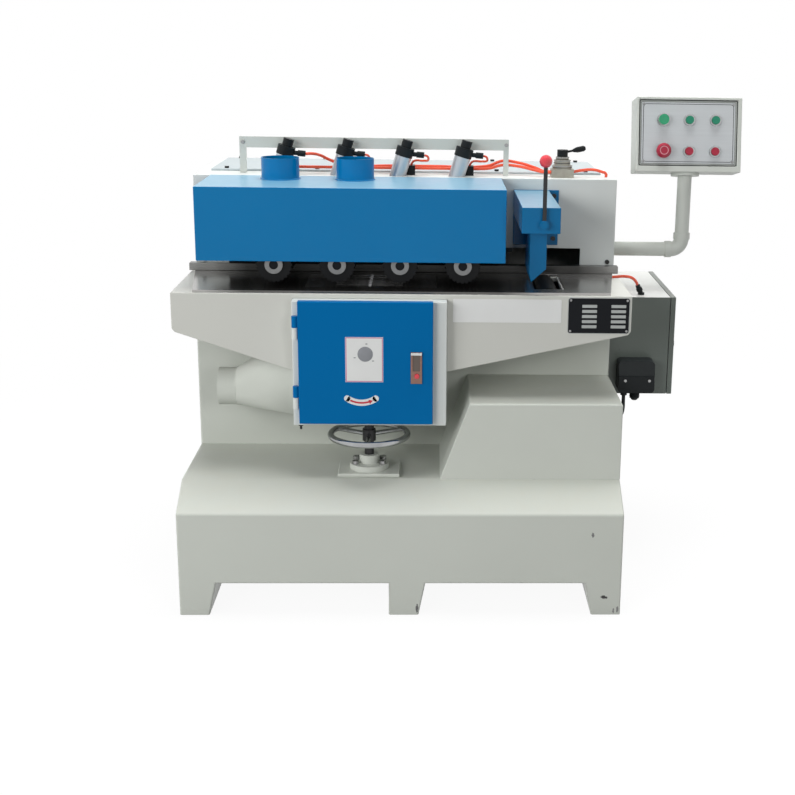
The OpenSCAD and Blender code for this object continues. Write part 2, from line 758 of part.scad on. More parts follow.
// rod, piston and roller carrier of one press unit
module press_slide(i) color([0.35, 0.36, 0.38]) {
  y0 = press_y - 18;
  y1 = press_y + 18;
  difference() {
    union() {
      ycyl(roller_x(i), roller_z, y0, y1, 34);
      blk(roller_x(i) - press_off - 26, roller_x(i), y0, y1, roller_z - 22, roller_z + 22);
    }
    ycyl(roller_x(i), roller_z, y0 - 1, y1 + 1, shaft_r + run_gap);
  }
  on_press(i) {
    translate([0, 0, (roller_z + 14 - casing_top) / cos_l])
      cylinder(h = gland_s + 20 - (roller_z + 14 - casing_top) / cos_l, r = rod_r);
    translate([0, 0, gland_s + 18]) cylinder(h = 16, r = cyl_bore_r);
  }
}
module press_slide_1() press_slide(0);
module press_slide_2() press_slide(1);
module press_slide_3() press_slide(2);
module press_slide_4() press_slide(3);

// fluted drum, bright end ring, shaft and sprocket of one press roller
module press_roller(i) color([0.3, 0.31, 0.33]) {
  n = roller_flutes;
  pts = [for (k = [0:n - 1]) for (c = [[-0.3, 0], [0.18, 0], [0.3, 1], [0.58, 1]])
    (roller_r - flute_d * c[1]) * [cos(360 * (k + c[0]) / n), sin(360 * (k + c[0]) / n)]];
  translate([roller_x(i), 0, roller_z]) {
    translate([0, roller_y1, 0]) rotate([90, 0, 0]) linear_extrude(roller_y1 - roller_y0) polygon(pts);
    difference() {
      ycyl(0, 0, roller_y0 - 8, roller_y0 + 1, ring_r);
      ycyl(0, 0, roller_y0 - 9, roller_y0 - 4, ring_r / 2);
    }
    ycyl(0, 0, roller_y1 - 1, press_y + 44, shaft_r);
    ycyl(0, 0, press_y + 26, press_y + 34, 2 * shaft_r);
    ycyl(0, 0, press_y + 19, press_y + 27, shaft_r + 6);
  }
}
module press_roller_1() press_roller(0);
module press_roller_2() press_roller(1);
module press_roller_3() press_roller(2);
module press_roller_4() press_roller(3);

// rotary hand valve on the casing
module valve_body() color([0.72, 0.7, 0.62]) {
  h = valve_w / 2;
  blk(valve_x - h, valve_x + h, valve_y - h * 0.8, valve_y + h * 0.8, casing_top, casing_top + 22);
  zcyl(valve_x, valve_y, casing_top + 21, casing_top + 32, h * 0.86);
  zcyl(valve_x, valve_y, casing_top + 31, casing_top + 46, h * 0.72);
  zcyl(valve_x, valve_y, casing_top + 45, casing_top + 54, h * 0.56);
  zcyl(valve_x, valve_y, casing_top + 53, casing_top + 62, h * 0.25);
}

module valve_lever() color([0.1, 0.1, 0.11]) {
  z = casing_top + 54.5;
  l = valve_lever_l;
  difference() {
    zcyl(valve_x, valve_y, z, z + 18, valve_w * 0.24);
    zcyl(valve_x, valve_y, z - 1, z + 10, valve_w * 0.125 + run_gap);
  }
  translate([valve_x, valve_y, z + 10]) rotate([0, 78, 0]) {
    translate([0, 0, valve_w * 0.2]) cylinder(h = l - valve_w * 0.2 - 20, r = 3);
    translate([0, 0, l - 34]) cylinder(h = 12, r1 = 4, r2 = 7.5);
    translate([0, 0, l - 22]) cylinder(h = 18, r = 7.5);
    translate([0, 0, l - 4]) cylinder(h = 5, r1 = 7.5, r2 = 4);
  }
}

// blue hood and flange of the kickback unit
module kickback_housing() color([0.06, 0.36, 0.6]) {
  w = hood_wall;
  difference() {
    union() {
      difference() {
        blk(hood_x0, hood_x1, hood_y, casing_y - w + 1, hood_z, hood_top);
        blk(hood_x0 + w, hood_x1 - w, hood_y + w, casing_y - w + 2, hood_z - 1, hood_top - w);
      }
      blk(hood_x0, hood_x1 + 27, casing_y - w, casing_y, guard_z + 6, hood_top + 1);
    }
    ycyl(kick_x, kick_z, hood_y - 1, casing_y + 1, kick_r + run_gap);
  }
}

// turning shaft with its hanging fingers
module kickback_fingers() color([0.08, 0.38, 0.62]) {
  ycyl(kick_x, kick_z, hood_y - 19, casing_y - 1, kick_r);
  for (i = [0:finger_n - 1])
    difference() {
      union() {
        prism_y([[kick_x - 22, kick_z - 6], [kick_x - 22, finger_tip_z + 22], [kick_x - 17, finger_tip_z],
          [kick_x + 21, finger_tip_z + 34], [kick_x + 21, kick_z - 6]],
          finger_y + i * finger_pitch, finger_y + i * finger_pitch + finger_t);
        ycyl(kick_x, kick_z, finger_y + i * finger_pitch, finger_y + i * finger_pitch + finger_t, 21);
      }
      ycyl(kick_x, kick_z, finger_y - 1, finger_y + finger_n * finger_pitch, kick_r + 0.02);
    }
}

module kickback_lever() color([0.1, 0.1, 0.11]) {
  difference() {
    ycyl(kick_x, kick_z, hood_y - 17, hood_y - 4, kick_r + 3);
    ycyl(kick_x, kick_z, hood_y - 18, hood_y - 3, kick_r + 0.02);
  }
  zcyl(kick_x, hood_y - 10.5, kick_z + kick_r + 1, kick_z + ball_up - ball_r * 0.5 - 0.3, lever_r);
}

module lever_knob() color([0.85, 0.1, 0.13])
  translate([kick_x, hood_y - 10.5, kick_z + ball_up])
    difference() {
      sphere(r = ball_r);
      translate([0, 0, -ball_r - 1]) cylinder(h = ball_r * 0.5 + 1, r = lever_r + 0.1);
    }

// saw chamber with its door frame and the fixed hinge halves
module saw_chamber() color([0.9, 0.91, 0.9]) {
  w = chamber_wall;
  top = skin_z;
  difference() {
    blk(chamber_x0, chamber_x1, chamber_y, column_y, chamber_z, top);
    blk(chamber_x0 + w, chamber_x1 - w, chamber_y + w, column_y + 1, chamber_z + w, top + 1);
    blk(door_x + 8, door_x + door_w - 8, chamber_y - 1, chamber_y + w + 1, door_z + 8, top - 8);
    zcyl(arbor_x, screw_y, chamber_z - 1, chamber_z + w + 1, screw_r + 4);
    blk(chamber_x0 - 1, chamber_x0 + w + 1, outlet_y - chute_side / 2 + 5, outlet_y + chute_side / 2 - 5,
      chute_z + 5, chute_z + chute_side - 5);
  }
  blk(chamber_x0, chamber_x1, chamber_y, apron_y + 10, top - w, top);
  for (z = [hinge_z1, hinge_z2]) {
    zcyl(hinge_x, hinge_y, z - 0.5 - knuckle_l, z - 0.5, knuckle_r);
    zcyl(hinge_x, hinge_y, z - 1.5, z + knuckle_l - 3, pin_r);
    blk(hinge_x - 5, hinge_x + 5, hinge_y + 2, chamber_y + 1, z - 0.5 - knuckle_l, z - 0.5);
  }
}

// blue door pan with the lift-off hinge halves
module chamber_door() color([0.1, 0.46, 0.7]) {
  s = door_sheet;
  difference() {
    blk(door_x, door_x + door_w, door_y, door_y + door_t, door_z, door_z + door_h);
    blk(door_x + s, door_x + door_w - s, door_y + s, door_y + door_t + 1, door_z + s, door_z + door_h - s);
    blk(latch_x - latch_w / 2 + 4, latch_x + latch_w / 2 - 4, door_y - 1, door_y + s + 1,
      latch_z - latch_h / 2 + 5, latch_z + latch_h / 2 - 5);
    for (z = [hinge_z1, hinge_z2])
      zcyl(hinge_x, hinge_y, z - knuckle_l - 2, z, knuckle_r + 0.4);
  }
  for (z = [hinge_z1, hinge_z2])
    difference() {
      union() {
        zcyl(hinge_x, hinge_y, z, z + knuckle_l, knuckle_r);
        blk(hinge_x, door_x + 1, hinge_y - 4, hinge_y + 4, z, z + knuckle_l);
      }
      zcyl(hinge_x, hinge_y, z - 1, z + knuckle_l - 2, pin_r + run_gap);
    }
}

module latch_body() color([0.6, 0.62, 0.64])
  difference() {
    union() {
      blk(latch_x - latch_w / 2, latch_x + latch_w / 2, door_y - 4, door_y,
        latch_z - latch_h / 2, latch_z + latch_h / 2);
      blk(latch_x - latch_w / 2 + 4.3, latch_x + latch_w / 2 - 4.3, door_y - 1, door_y + 15,
        latch_z - latch_h / 2 + 5.3, latch_z + latch_h / 2 - 5.3);
    }
    blk(latch_x - latch_w / 2 + 5, latch_x + latch_w / 2 - 5, door_y - 5, door_y - 2, latch_z - 8,
      latch_z + latch_h / 2 - 5);
    ycyl(latch_x + 1, latch_z - latch_h / 4, door_y - 5, door_y + 10, latch_btn_r + 0.4);
  }

module latch_button() color([0.8, 0.1, 0.1])
  ycyl(latch_x + 1, latch_z - latch_h / 4, door_y - 8, door_y + 5, latch_btn_r);

// square to round dust chute with its hose stub
module dust_chute() color([0.86, 0.87, 0.86]) {
  x0 = chamber_x0 - outlet_reach;
  x1 = chamber_x0;
  difference() {
    union() {
      xcyl(outlet_y, outlet_z, x0, x0 + outlet_stub, outlet_r);
      hull() {
        xcyl(outlet_y, outlet_z, x0 + outlet_stub - 1, x0 + outlet_stub, outlet_r);
        blk(x1 - 1, x1, outlet_y - chute_side / 2, outlet_y + chute_side / 2, chute_z, chute_z + chute_side);
      }
    }
    xcyl(outlet_y, outlet_z, x0 - 1, x0 + outlet_stub, outlet_r - outlet_wall);
    hull() {
      xcyl(outlet_y, outlet_z, x0 + outlet_stub - 1.5, x0 + outlet_stub, outlet_r - outlet_wall);
      blk(x1 - 0.5, x1 + 1, outlet_y - chute_side / 2 + 3, outlet_y + chute_side / 2 - 3,
        chute_z + 3, chute_z + chute_side - 3);
    }
  }
}

// foot bearing of the lifting screw
module lift_bearing() color([0.85, 0.86, 0.85])
  difference() {
    union() {
      blk(arbor_x - bearing_side / 2, arbor_x + bearing_side / 2, screw_y - 58, screw_y + 58, plinth_h,
        plinth_h + 10);
      zcyl(arbor_x, screw_y, plinth_h + 9, plinth_h + 24, 50);
      zcyl(arbor_x, screw_y, plinth_h + 23, plinth_h + 46, 25);
    }
    zcyl(arbor_x, screw_y, plinth_h + 8, plinth_h + 50, screw_r + run_gap);
  }

module handwheel() color([0.82, 0.83, 0.85])
  translate([arbor_x, screw_y, wheel_z])
    difference() {
      union() {
        rotate_extrude() translate([wheel_r - wheel_rim, 0]) circle(r = wheel_rim, $fn = 24);
        for (a = [30, 150, 270])
          rotate([0, 90, a]) cylinder(h = wheel_r - wheel_rim, r = 6);
        translate([0, 0, -16]) cylinder(h = 30, r = screw_r + 5);
      }
      translate([0, 0, -17]) cylinder(h = 32, r = screw_r + 0.02);
    }

module lift_screw() color([0.2, 0.21, 0.22])
  zcyl(arbor_x, screw_y, plinth_h + 9, chamber_z + 170, screw_r);

module guide_posts() color([0.7, 0.71, 0.72])
  for (s = [-1, 1])
    zcyl(arbor_x + s * post_half, post_y, plinth_h, skin_z, post_r);

// cast carriage plate with guide sleeves and the nut arm of the lifting screw
module spindle_carriage() color([0.4, 0.42, 0.42]) {
  y0 = carriage_y;
  y1 = carriage_y + carriage_t;
  difference() {
    union() {
      blk(arbor_x - post_half - 32, motor_x - 140, y0, y1, arbor_z - 190, arbor_z + 62);
      blk(motor_x - 150, motor_x + 134, y0, y1, motor_z - 134, motor_z + 134);
      for (s = [-1, 1]) {
        zcyl(arbor_x + s * post_half, post_y, arbor_z - 120, arbor_z + 40, post_r + 11);
        blk(arbor_x + s * post_half - 14, arbor_x + s * post_half + 14, y1 - 1, post_y, arbor_z - 120,
          arbor_z + 40);
      }
      blk(arbor_x - 30, arbor_x + 30, screw_y, y0 + 1, arbor_z - 182, arbor_z - 156);
      zcyl(arbor_x, screw_y, arbor_z - 192, arbor_z - 146, 32);
    }
    ycyl(arbor_x, arbor_z, y0 - 1, y1 + 1, spindle_r);
    ycyl(motor_x, motor_z, y0 - 1, y1 + 1, motor_shaft_r + 26);
    zcyl(arbor_x, screw_y, arbor_z - 200, arbor_z - 140, screw_r + run_gap);
    for (s = [-1, 1])
      zcyl(arbor_x + s * post_half, post_y, arbor_z - 125, arbor_z + 45, post_r + run_gap);
  }
}

module spindle_housing() color([0.45, 0.47, 0.47])
  difference() {
    union() {
      ycyl(arbor_x, arbor_z, pack_y + 32, carriage_y + carriage_t + 64, spindle_r);
      ycyl(arbor_x, arbor_z, carriage_y + carriage_t, carriage_y + carriage_t + 14, spindle_r + 12);
    }
    ycyl(arbor_x, arbor_z, pack_y + 31, carriage_y + carriage_t + 65, arbor_r + run_gap);
  }

module arbor() color([0.7, 0.71, 0.73]) {
  ycyl(arbor_x, arbor_z, pack_front - 24, pulley_y + pulley_l + 6, arbor_r);
  ycyl(arbor_x, arbor_z, pack_y, pack_y + 14, arbor_r + 24);
  blade_spacers();
}

// toothed discs on the arbor
module saw_blades() color([0.75, 0.76, 0.78]) {
  n = teeth_n;
  pts = [for (k = [0:n - 1]) for (c = [[0, 0], [0.12, 0], [0.3, 10], [0.62, 7]])
    (blade_r - c[1]) * [cos(-360 * (k + c[0]) / n), sin(-360 * (k + c[0]) / n)]];
  for (i = [0:blade_n - 1])
    translate([arbor_x, blade_y(i) + blade_t, arbor_z]) rotate([90, 0, 0]) linear_extrude(blade_t)
      difference() {
        polygon(pts);
        circle(r = arbor_r + 0.05);
      }
}

// clamping spacers between the blades and the front nut
module blade_spacers() {
  for (i = [1:blade_n - 1])
    difference() {
      ycyl(arbor_x, arbor_z, blade_y(i) + blade_t, blade_y(i - 1), spacer_r);
      ycyl(arbor_x, arbor_z, blade_y(i), blade_y(i - 1) + 1, arbor_r + 0.05);
    }
  difference() {
    ycyl(arbor_x, arbor_z, pack_front - 18, pack_front, spacer_r);
    ycyl(arbor_x, arbor_z, pack_front - 19, pack_front + 1, arbor_r + 0.05);
  }
}

// grooved pulley profile turned about Y
module pulley(x, z, r, bore)
  translate([x, pulley_y, z]) rotate([-90, 0, 0])
    difference() {
      rotate_extrude() polygon(concat([[bore, 0], [r, 0]],
        [for (k = [0:belt_n - 1]) for (c = [[0, -8], [-10, -4.5], [-10, 4.5], [0, 8]])
          [r + c[0], (k + 0.5) * pulley_l / belt_n + c[1]]],
        [[r, pulley_l], [bore, pulley_l]]));
    }

module arbor_pulley() color([0.3, 0.31, 0.32]) pulley(arbor_x, arbor_z, pulley_a_r, arbor_r + 0.05);

module motor_pulley() color([0.3, 0.31, 0.32]) {
  pulley(motor_x, motor_z, pulley_m_r, motor_shaft_r - 1);
  ycyl(motor_x, motor_z, carriage_y - 40, pulley_y + pulley_l + 6, motor_shaft_r);
}

module main_motor() color([0.35, 0.4, 0.45])
  difference() {
    union() {
      ycyl(motor_x, motor_z, motor_y, carriage_y - 14, motor_r);
      ycyl(motor_x, motor_z, carriage_y - 14, carriage_y, motor_r + 24);
      blk(motor_x - 45, motor_x + 45, motor_y + 90, motor_y + 190, motor_z + motor_r - 30,
        motor_z + motor_r);
    }
    ycyl(motor_x, motor_z, carriage_y - 42, carriage_y + 1, motor_shaft_r + run_gap);
  }

// loop of points round both pulleys, grown by g
function loop(g) =
  let (dx = motor_x - arbor_x, dz = motor_z - arbor_z, d = norm([dx, dz]), a = atan2(dz, dx),
    b = acos((pulley_a_r - pulley_m_r) / d))
  concat(arc(arbor_x, arbor_z, pulley_a_r + g, a + b, a + 360 - b, 20),
    arc(motor_x, motor_z, pulley_m_r + g, a - b, a + b, 20));

module drive_belts() color([0.08, 0.08, 0.09])
  for (k = [0:belt_n - 1]) {
    yc = pulley_y + (k + 0.5) * pulley_l / belt_n;
    difference() {
      prism_y(loop(1.5), yc - 4, yc + 4);
      prism_y(loop(-9.45), yc - 5, yc + 5);
    }
  }

// feed gear unit inside the casing
module feed_motor() color([0.35, 0.4, 0.45]) {
  z0 = body_top + casing_wall;
  blk(-60, 60, press_y + 140, press_y + 260, z0, z0 + 150);
  xcyl(press_y + 200, z0 + 80, 59, 300, 62);
  ycyl(0, z0 + 80, press_y + 96, press_y + 141, 14);
  ycyl(0, z0 + 80, press_y + 100, press_y + 108, 32);
}

module bed_roller() color([0.6, 0.61, 0.63]) {
  ycyl(bed_x, bed_z, slot_y0 + 6, slot_y0 + slot_w - 6, bed_r);
  ycyl(bed_x, bed_z, slot_y0 - 10, slot_y0 + slot_w + 10, bed_axle_r);
}

// frame of the leaning control box: origin in its front face, Y into the box
module on_panel()
  translate([panel_x, panel_y, panel_z]) rotate([-panel_tilt, 0, 0]) children();

// pipe arm with its elbow and flanges
module panel_arm() color([0.85, 0.86, 0.85]) {
  xe = panel_x - elbow_r;
  ze = pipe_z + elbow_r;
  xcyl(pipe_y, pipe_z, casing_x1, xe + 1, pipe_r);
  xcyl(pipe_y, pipe_z, casing_x1, casing_x1 + 8, pipe_r + 14);
  xcyl(pipe_y, pipe_z, xe - 16, xe + 1, pipe_r + 3.5);
  translate([xe, pipe_y, ze]) rotate([90, 0, 0]) rotate([0, 0, -90])
    rotate_extrude(angle = 90) translate([elbow_r, 0]) circle(r = pipe_r + 1);
  zcyl(panel_x, pipe_y, ze - 1, ze + 16, pipe_r + 3.5);
  difference() {
    union() {
      zcyl(panel_x, pipe_y, ze - 1, flange_z + 20, pipe_r);
      on_panel() translate([0, panel_d / 2, -panel_h / 2 - 8]) cylinder(h = 8, r = pipe_r * 2);
    }
    on_panel() blk(-panel_w, panel_w, -big, big, -panel_h / 2, big);
  }
}

rec_l = -panel_w / 2 + 7;
rec_r = panel_w / 2 - 11;
rec_b = -panel_h / 2 + 16;
rec_t = panel_h / 2 - 7;
rec_d = 6;
col = [-button_pitch, 0, button_pitch];
stem_r = 7;
module control_box() color([0.8, 0.82, 0.79])
  on_panel() difference() {
    blk(-panel_w / 2, panel_w / 2, 0, panel_d, -panel_h / 2, panel_h / 2);
    blk(-panel_w / 2 + 3, panel_w / 2 - 3, rec_d + 3, panel_d - 3, -panel_h / 2 + 3, panel_h / 2 - 3);
    blk(rec_l, rec_r, -1, rec_d, rec_b, rec_t);
    for (x = col)
      for (z = [row_low, row_high])
        ycyl(x, z, 0, rec_d + 4, stem_r + button_gap);
  }

// face plate in the recess with the fixed bezel rings
module control_panel() color([0.5, 0.58, 0.66])
  on_panel() {
    difference() {
      blk(rec_l + 7, rec_r - 7, rec_d - 3, rec_d, rec_b + 7, rec_t - 7);
      for (x = col)
        for (z = [row_low, row_high])
          ycyl(x, z, 0, rec_d + 1, stem_r + button_gap);
    }
    for (p = [[0, row_low], [1, row_low], [0, row_high], [1, row_high]])
      difference() {
        ycyl(col[p[0] + 1], p[1], -5, rec_d - 3, button_r + button_gap + bezel_w);
        ycyl(col[p[0] + 1], p[1], -6, rec_d - 2, button_r + button_gap);
      }
    difference() {
      ycyl(col[0], row_low, -4, rec_d - 3, 15);
      ycyl(col[0], row_low, -5, rec_d - 2, stem_r + button_gap);
    }
  }

module power_lamp() color([0.05, 0.6, 0.15])
  on_panel() {
    ycyl(col[0], row_high, -4, rec_d - 3, 17);
    ycyl(col[0], row_high, -16, -3, 14);
    ycyl(col[0], row_high, rec_d - 4, rec_d + 12, stem_r);
  }

module push_cap(x, z)
  on_panel() {
    ycyl(x, z, -10, -3, button_r);
    ycyl(x, z, -4, rec_d + 14, stem_r);
  }
module start_button_1() color([0.05, 0.5, 0.15]) push_cap(col[1], row_high);
module start_button_2() color([0.05, 0.5, 0.15]) push_cap(col[2], row_high);
module stop_button_1() color([0.75, 0.08, 0.1]) push_cap(col[1], row_low);
module stop_button_2() color([0.75, 0.08, 0.1]) push_cap(col[2], row_low);

module e_stop() color([0.8, 0.06, 0.08])
  on_panel() {
    ycyl(col[0], row_low, -22, -12, stop_r);
    translate([col[0], -22, row_low]) rotate([90, 0, 0]) cylinder(h = 5, r1 = stop_r, r2 = stop_r - 5);
    ycyl(col[0], row_low, -13, rec_d + 14, stem_r);
  }

// electrical cabinet on the column with its pin brackets
module cabinet() color([0.78, 0.79, 0.78]) {
  w = cab_wall;
  y1 = cab_y + cab_l;
  z1 = cab_z + cab_h;
  difference() {
    blk(cab_x0, cab_x1, cab_y, y1, cab_z, z1);
    blk(cab_x0 + w, cab_x1 + 1, cab_y + w, y1 - w, cab_z + w, z1 - w);
  }
  for (z = cab_hinge_z) {
    blk(cab_x1 - 16, cab_hinge_x, y1 - 1, cab_hinge_y, z - 20.4, z - 0.4);
    zcyl(cab_hinge_x, cab_hinge_y, z - 20.4, z - 0.4, 5);
    zcyl(cab_hinge_x, cab_hinge_y, z - 1.4, z + 18, 3);
  }
}

// mounting plate with the switching gear
module switchgear() color([0.6, 0.62, 0.64]) {
  x = cab_x0 + cab_wall;
  blk(x, x + 4, cab_y + 30, cab_y + cab_l - 40, cab_z + 24, cab_z + cab_h - 24);
  for (r = [0, 1]) {
    blk(x + 3, x + 12, cab_y + 40, cab_y + cab_l - 50, cab_z + 72 + r * 100, cab_z + 106 + r * 100);
    for (k = [0:3])
      blk(x + 11, x + 78 - 18 * r, cab_y + 52 + k * 74, cab_y + 104 + k * 74, cab_z + 48 + r * 104,
        cab_z + 128 + r * 96);
  }
}

// black connector box with its gland and the motor cable into the base
module connector_box() color([0.07, 0.07, 0.08]) {
  y0 = cab_y - conn_d;
  x1 = conn_x + conn_w;
  z1 = conn_z + conn_h;
  c = 12;
  for (x = [conn_x + c, x1 - c])
    for (z = [conn_z + c, z1 - c])
      ycyl(x, z, y0 + (z > conn_z + c ? 4 : 0), cab_y, c);
  blk(conn_x + c, x1 - c, y0 + 4, cab_y, conn_z, z1);
  blk(conn_x, x1, y0 + 4, cab_y, conn_z + c, z1 - c);
  blk(conn_x + c, x1 - c, y0, cab_y, conn_z, conn_z + conn_h * 0.52);
  blk(conn_x, x1, y0, cab_y, conn_z + c, conn_z + conn_h * 0.52);
  zcyl(conn_x + conn_w / 2, cable_y, conn_z - 20, conn_z + 1, 13);
  zcyl(cable_x, cable_y, conn_z - 12, conn_z + 1, cable_r + 4);
  bend = cable_x - base_half - 8;
  sweep(concat([[cable_x, cable_y, conn_z - 11]],
    [for (a = [0:15:90]) [cable_x - bend * (1 - cos(a)), cable_y, conn_z - 50 - bend * sin(a)]],
    [[base_half + 0.6, cable_y, conn_z - 50 - bend]]), cable_r, 12);
}

module cabinet_door() color([0.78, 0.79, 0.78]) {
  x0 = cab_door_x;
  x1 = cab_door_x + cab_door_t;
  difference() {
    union() {
      difference() {
        blk(x0, x1, cab_y, cab_y + cab_l, cab_z, cab_z + cab_h);
        blk(x0 - 1, x1 - 2, cab_y + 3, cab_y + cab_l - 3, cab_z + 3, cab_z + cab_h - 3);
      }
      for (z = cab_hinge_z) {
        blk(x0, x0 + 4, cab_y + cab_l - 1, cab_hinge_y, z, z + 20);
        zcyl(cab_hinge_x, cab_hinge_y, z, z + 20, 5);
      }
      xcyl(cab_y + 40, cab_z + cab_h / 2, x1 - 3, x1 + 6, 11);
    }
    for (z = cab_hinge_z)
      zcyl(cab_hinge_x, cab_hinge_y, z - 1, z + 21, 3 + run_gap);
  }
}

// screws and bolts on their faces
module fasteners() color([0.55, 0.56, 0.57]) {
  lid_z = casing_top + lid_t;
  for (k = [0:4])
    for (y = [lid_y + 14, lid_back - 14])
      zcyl((casing_x0 + casing_x1) / 2 + (k - 2) * 245, y, lid_z, lid_z + 5, 6);
  for (x = [-34, 34])
    for (y = [-20, 20])
      zcyl(arbor_x + x, screw_y + y, plinth_h + 24, plinth_h + 33, 8.5);
  for (x = [crail_x0 + 9, crail_x1 - 7])
    ycyl(x, casing_top + crail_up - crail_h / 2, crail_y - 4, crail_y, 5);
  for (x = [-window_half - 66, window_half + 74])
    ycyl(x, plate_top + rail_h + 8, casing_y - 5, casing_y, 6);
  for (z = [guard_z + 24, hood_top - 14])
    ycyl(hood_x1 + 14, z, casing_y - hood_wall - 5, casing_y - hood_wall, 6);
  for (k = [0.19, 0.85])
    ycyl(conn_x + k * conn_w, conn_z + conn_h * 0.4, cab_y - conn_d - 3, cab_y - conn_d, 3.8);
}

shift() base_frame();
shift() motor_cover();
shift() table_body();
shift() table_plate();
shift() throat_plate();
shift() fence_rail();
shift() feed_casing();
shift() casing_lid();
shift() roller_guard();
shift() cylinder_rail();
shift() cylinder_barrels();
shift() cylinder_caps();
shift() air_lines();
shift() press_slide_1();
shift() press_slide_2();
shift() press_slide_3();
shift() press_slide_4();
shift() press_roller_1();
shift() press_roller_2();
shift() press_roller_3();
shift() press_roller_4();
shift() valve_body();
shift() valve_lever();
shift() kickback_housing();
shift() kickback_fingers();
shift() kickback_lever();
shift() lever_knob();
shift() saw_chamber();
shift() chamber_door();
shift() latch_body();
shift() latch_button();
shift() dust_chute();
shift() lift_bearing();
shift() handwheel();
shift() lift_screw();
shift() guide_posts();
shift() spindle_carriage();
shift() spindle_housing();
shift() arbor();
shift() saw_blades();
shift() arbor_pulley();
shift() motor_pulley();
shift() main_motor();
shift() drive_belts();
shift() feed_motor();
shift() bed_roller();
shift() panel_arm();
shift() control_box();
shift() control_panel();
shift() power_lamp();
shift() e_stop();
shift() start_button_1();
shift() start_button_2();
shift() stop_button_1();
shift() stop_button_2();
shift() cabinet();
shift() switchgear();
shift() cabinet_door();
shift() connector_box();
shift() fasteners();
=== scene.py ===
# %% [markdown]
# # A multi rip saw
# A floor-standing saw that rips one wide board into several strips in a single pass: four driven rollers press
# the board on a steel table, and a pack of blades on one arbor reaches up through a slot in it. The machine's
# solids come in as a fixed frame. This lesson dresses them: it rounds the sheet-metal edges, gives every surface
# its own node material, and adds the small plates, screws, seals and hoses that such a machine carries.

# %% Load the frame
import json
import math
import bmesh
import bpy
from mathutils import Matrix, Vector


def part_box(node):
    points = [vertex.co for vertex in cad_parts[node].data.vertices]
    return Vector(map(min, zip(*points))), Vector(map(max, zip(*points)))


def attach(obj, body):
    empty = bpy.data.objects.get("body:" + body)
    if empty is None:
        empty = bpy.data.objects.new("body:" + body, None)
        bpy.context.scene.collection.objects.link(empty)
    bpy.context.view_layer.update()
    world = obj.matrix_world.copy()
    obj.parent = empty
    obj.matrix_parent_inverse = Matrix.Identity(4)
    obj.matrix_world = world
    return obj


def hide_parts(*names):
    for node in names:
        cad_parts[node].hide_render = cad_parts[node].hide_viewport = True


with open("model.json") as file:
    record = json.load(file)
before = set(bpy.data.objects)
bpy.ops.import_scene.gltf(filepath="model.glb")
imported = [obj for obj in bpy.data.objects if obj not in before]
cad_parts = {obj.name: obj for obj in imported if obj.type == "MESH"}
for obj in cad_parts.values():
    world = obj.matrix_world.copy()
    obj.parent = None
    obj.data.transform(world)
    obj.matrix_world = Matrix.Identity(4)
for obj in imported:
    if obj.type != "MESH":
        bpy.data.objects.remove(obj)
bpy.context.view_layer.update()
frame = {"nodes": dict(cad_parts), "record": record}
nodes = frame["nodes"]
body_of_node = {n: b for b, members in frame["record"]["behaviour"]["bodies"].items() for n in members}
slot_of_node = {s["node"]: s["material_slot"] for s in frame["record"]["subparts"]}
MID_X, MID_Y = 170.5, 452.5


def at(x, y, z):
    """A point in the machine's own millimetres, as metres in the shared frame."""
    return Vector(((x - MID_X) / 1000, (y - MID_Y) / 1000, z / 1000))


print("solids loaded:", len(nodes))

# %% [markdown]
# ## Camera
# The photograph was taken from a little above the table with a normal lens, slightly to the right of the middle
# of the machine's body. A camera can be aimed by eye, but the straight edges of the machine fix its heading, its
# downward tilt and its small roll, so its three directions are worked out from these angles. The lens shift then
# moves the machine to where it stands in the square frame, without turning the view.

# %% Camera
CAMERA_PLACE = at(71.6, -3158.1, 1433.2)
HEADING, TILT, ROLL = -0.042, 0.2668, 0.0165
FRAME_PIXELS, FOCAL_PIXELS = 795, 1355.58
CENTRE_PIXEL = (485.99, 397.48)


def camera_axes(heading, tilt, roll):
    """Right, up and forward directions of the camera."""
    level = Vector((math.cos(heading), math.sin(heading), 0))
    forward = Vector((-math.sin(heading) * math.cos(tilt), math.cos(heading) * math.cos(tilt),
                      -math.sin(tilt)))
    above = level.cross(forward)
    right = math.cos(roll) * level + math.sin(roll) * above
    up = math.cos(roll) * above - math.sin(roll) * level
    return right, up, forward


right, up, forward = camera_axes(HEADING, TILT, ROLL)
lens = bpy.data.cameras.new("photo_camera")
lens.sensor_width = 36
lens.lens = FOCAL_PIXELS / FRAME_PIXELS * lens.sensor_width
lens.shift_x = 0.5 - CENTRE_PIXEL[0] / FRAME_PIXELS
lens.shift_y = CENTRE_PIXEL[1] / FRAME_PIXELS - 0.5
lens.clip_end = 60
camera = bpy.data.objects.new("photo_camera", lens)
turned = Matrix((right, up, -forward)).transposed().to_4x4()
camera.matrix_world = Matrix.Translation(CAMERA_PLACE) @ turned
bpy.context.scene.collection.objects.link(camera)
bpy.context.scene.camera = camera
bpy.context.scene.view_settings.view_transform = "Standard"
print("lens", round(lens.lens, 2), "mm")

# %% [markdown]
# ## Helpers for node trees
# Every finish below is a small tree of nodes. Nodes can be added and linked one by one, but the same lines would
# come back dozens of times. Each of these helpers adds one node, fills its inputs and hands back its result, so
# that a finish reads like a recipe.


# %% Adding a node
WHITE = (1, 1, 1, 1)


def wire(tree, kind, **settings):
    """Adds a node, sets its properties, and links or fills the inputs that are named."""
    node = tree.nodes.new(kind)
    inputs = settings.pop("inputs", {})
    for key, value in settings.items():
        setattr(node, key, value)
    for key, value in inputs.items():
        if isinstance(value, bpy.types.NodeSocket):
            tree.links.new(value, node.inputs[key])
        else:
            node.inputs[key].default_value = value
    return node


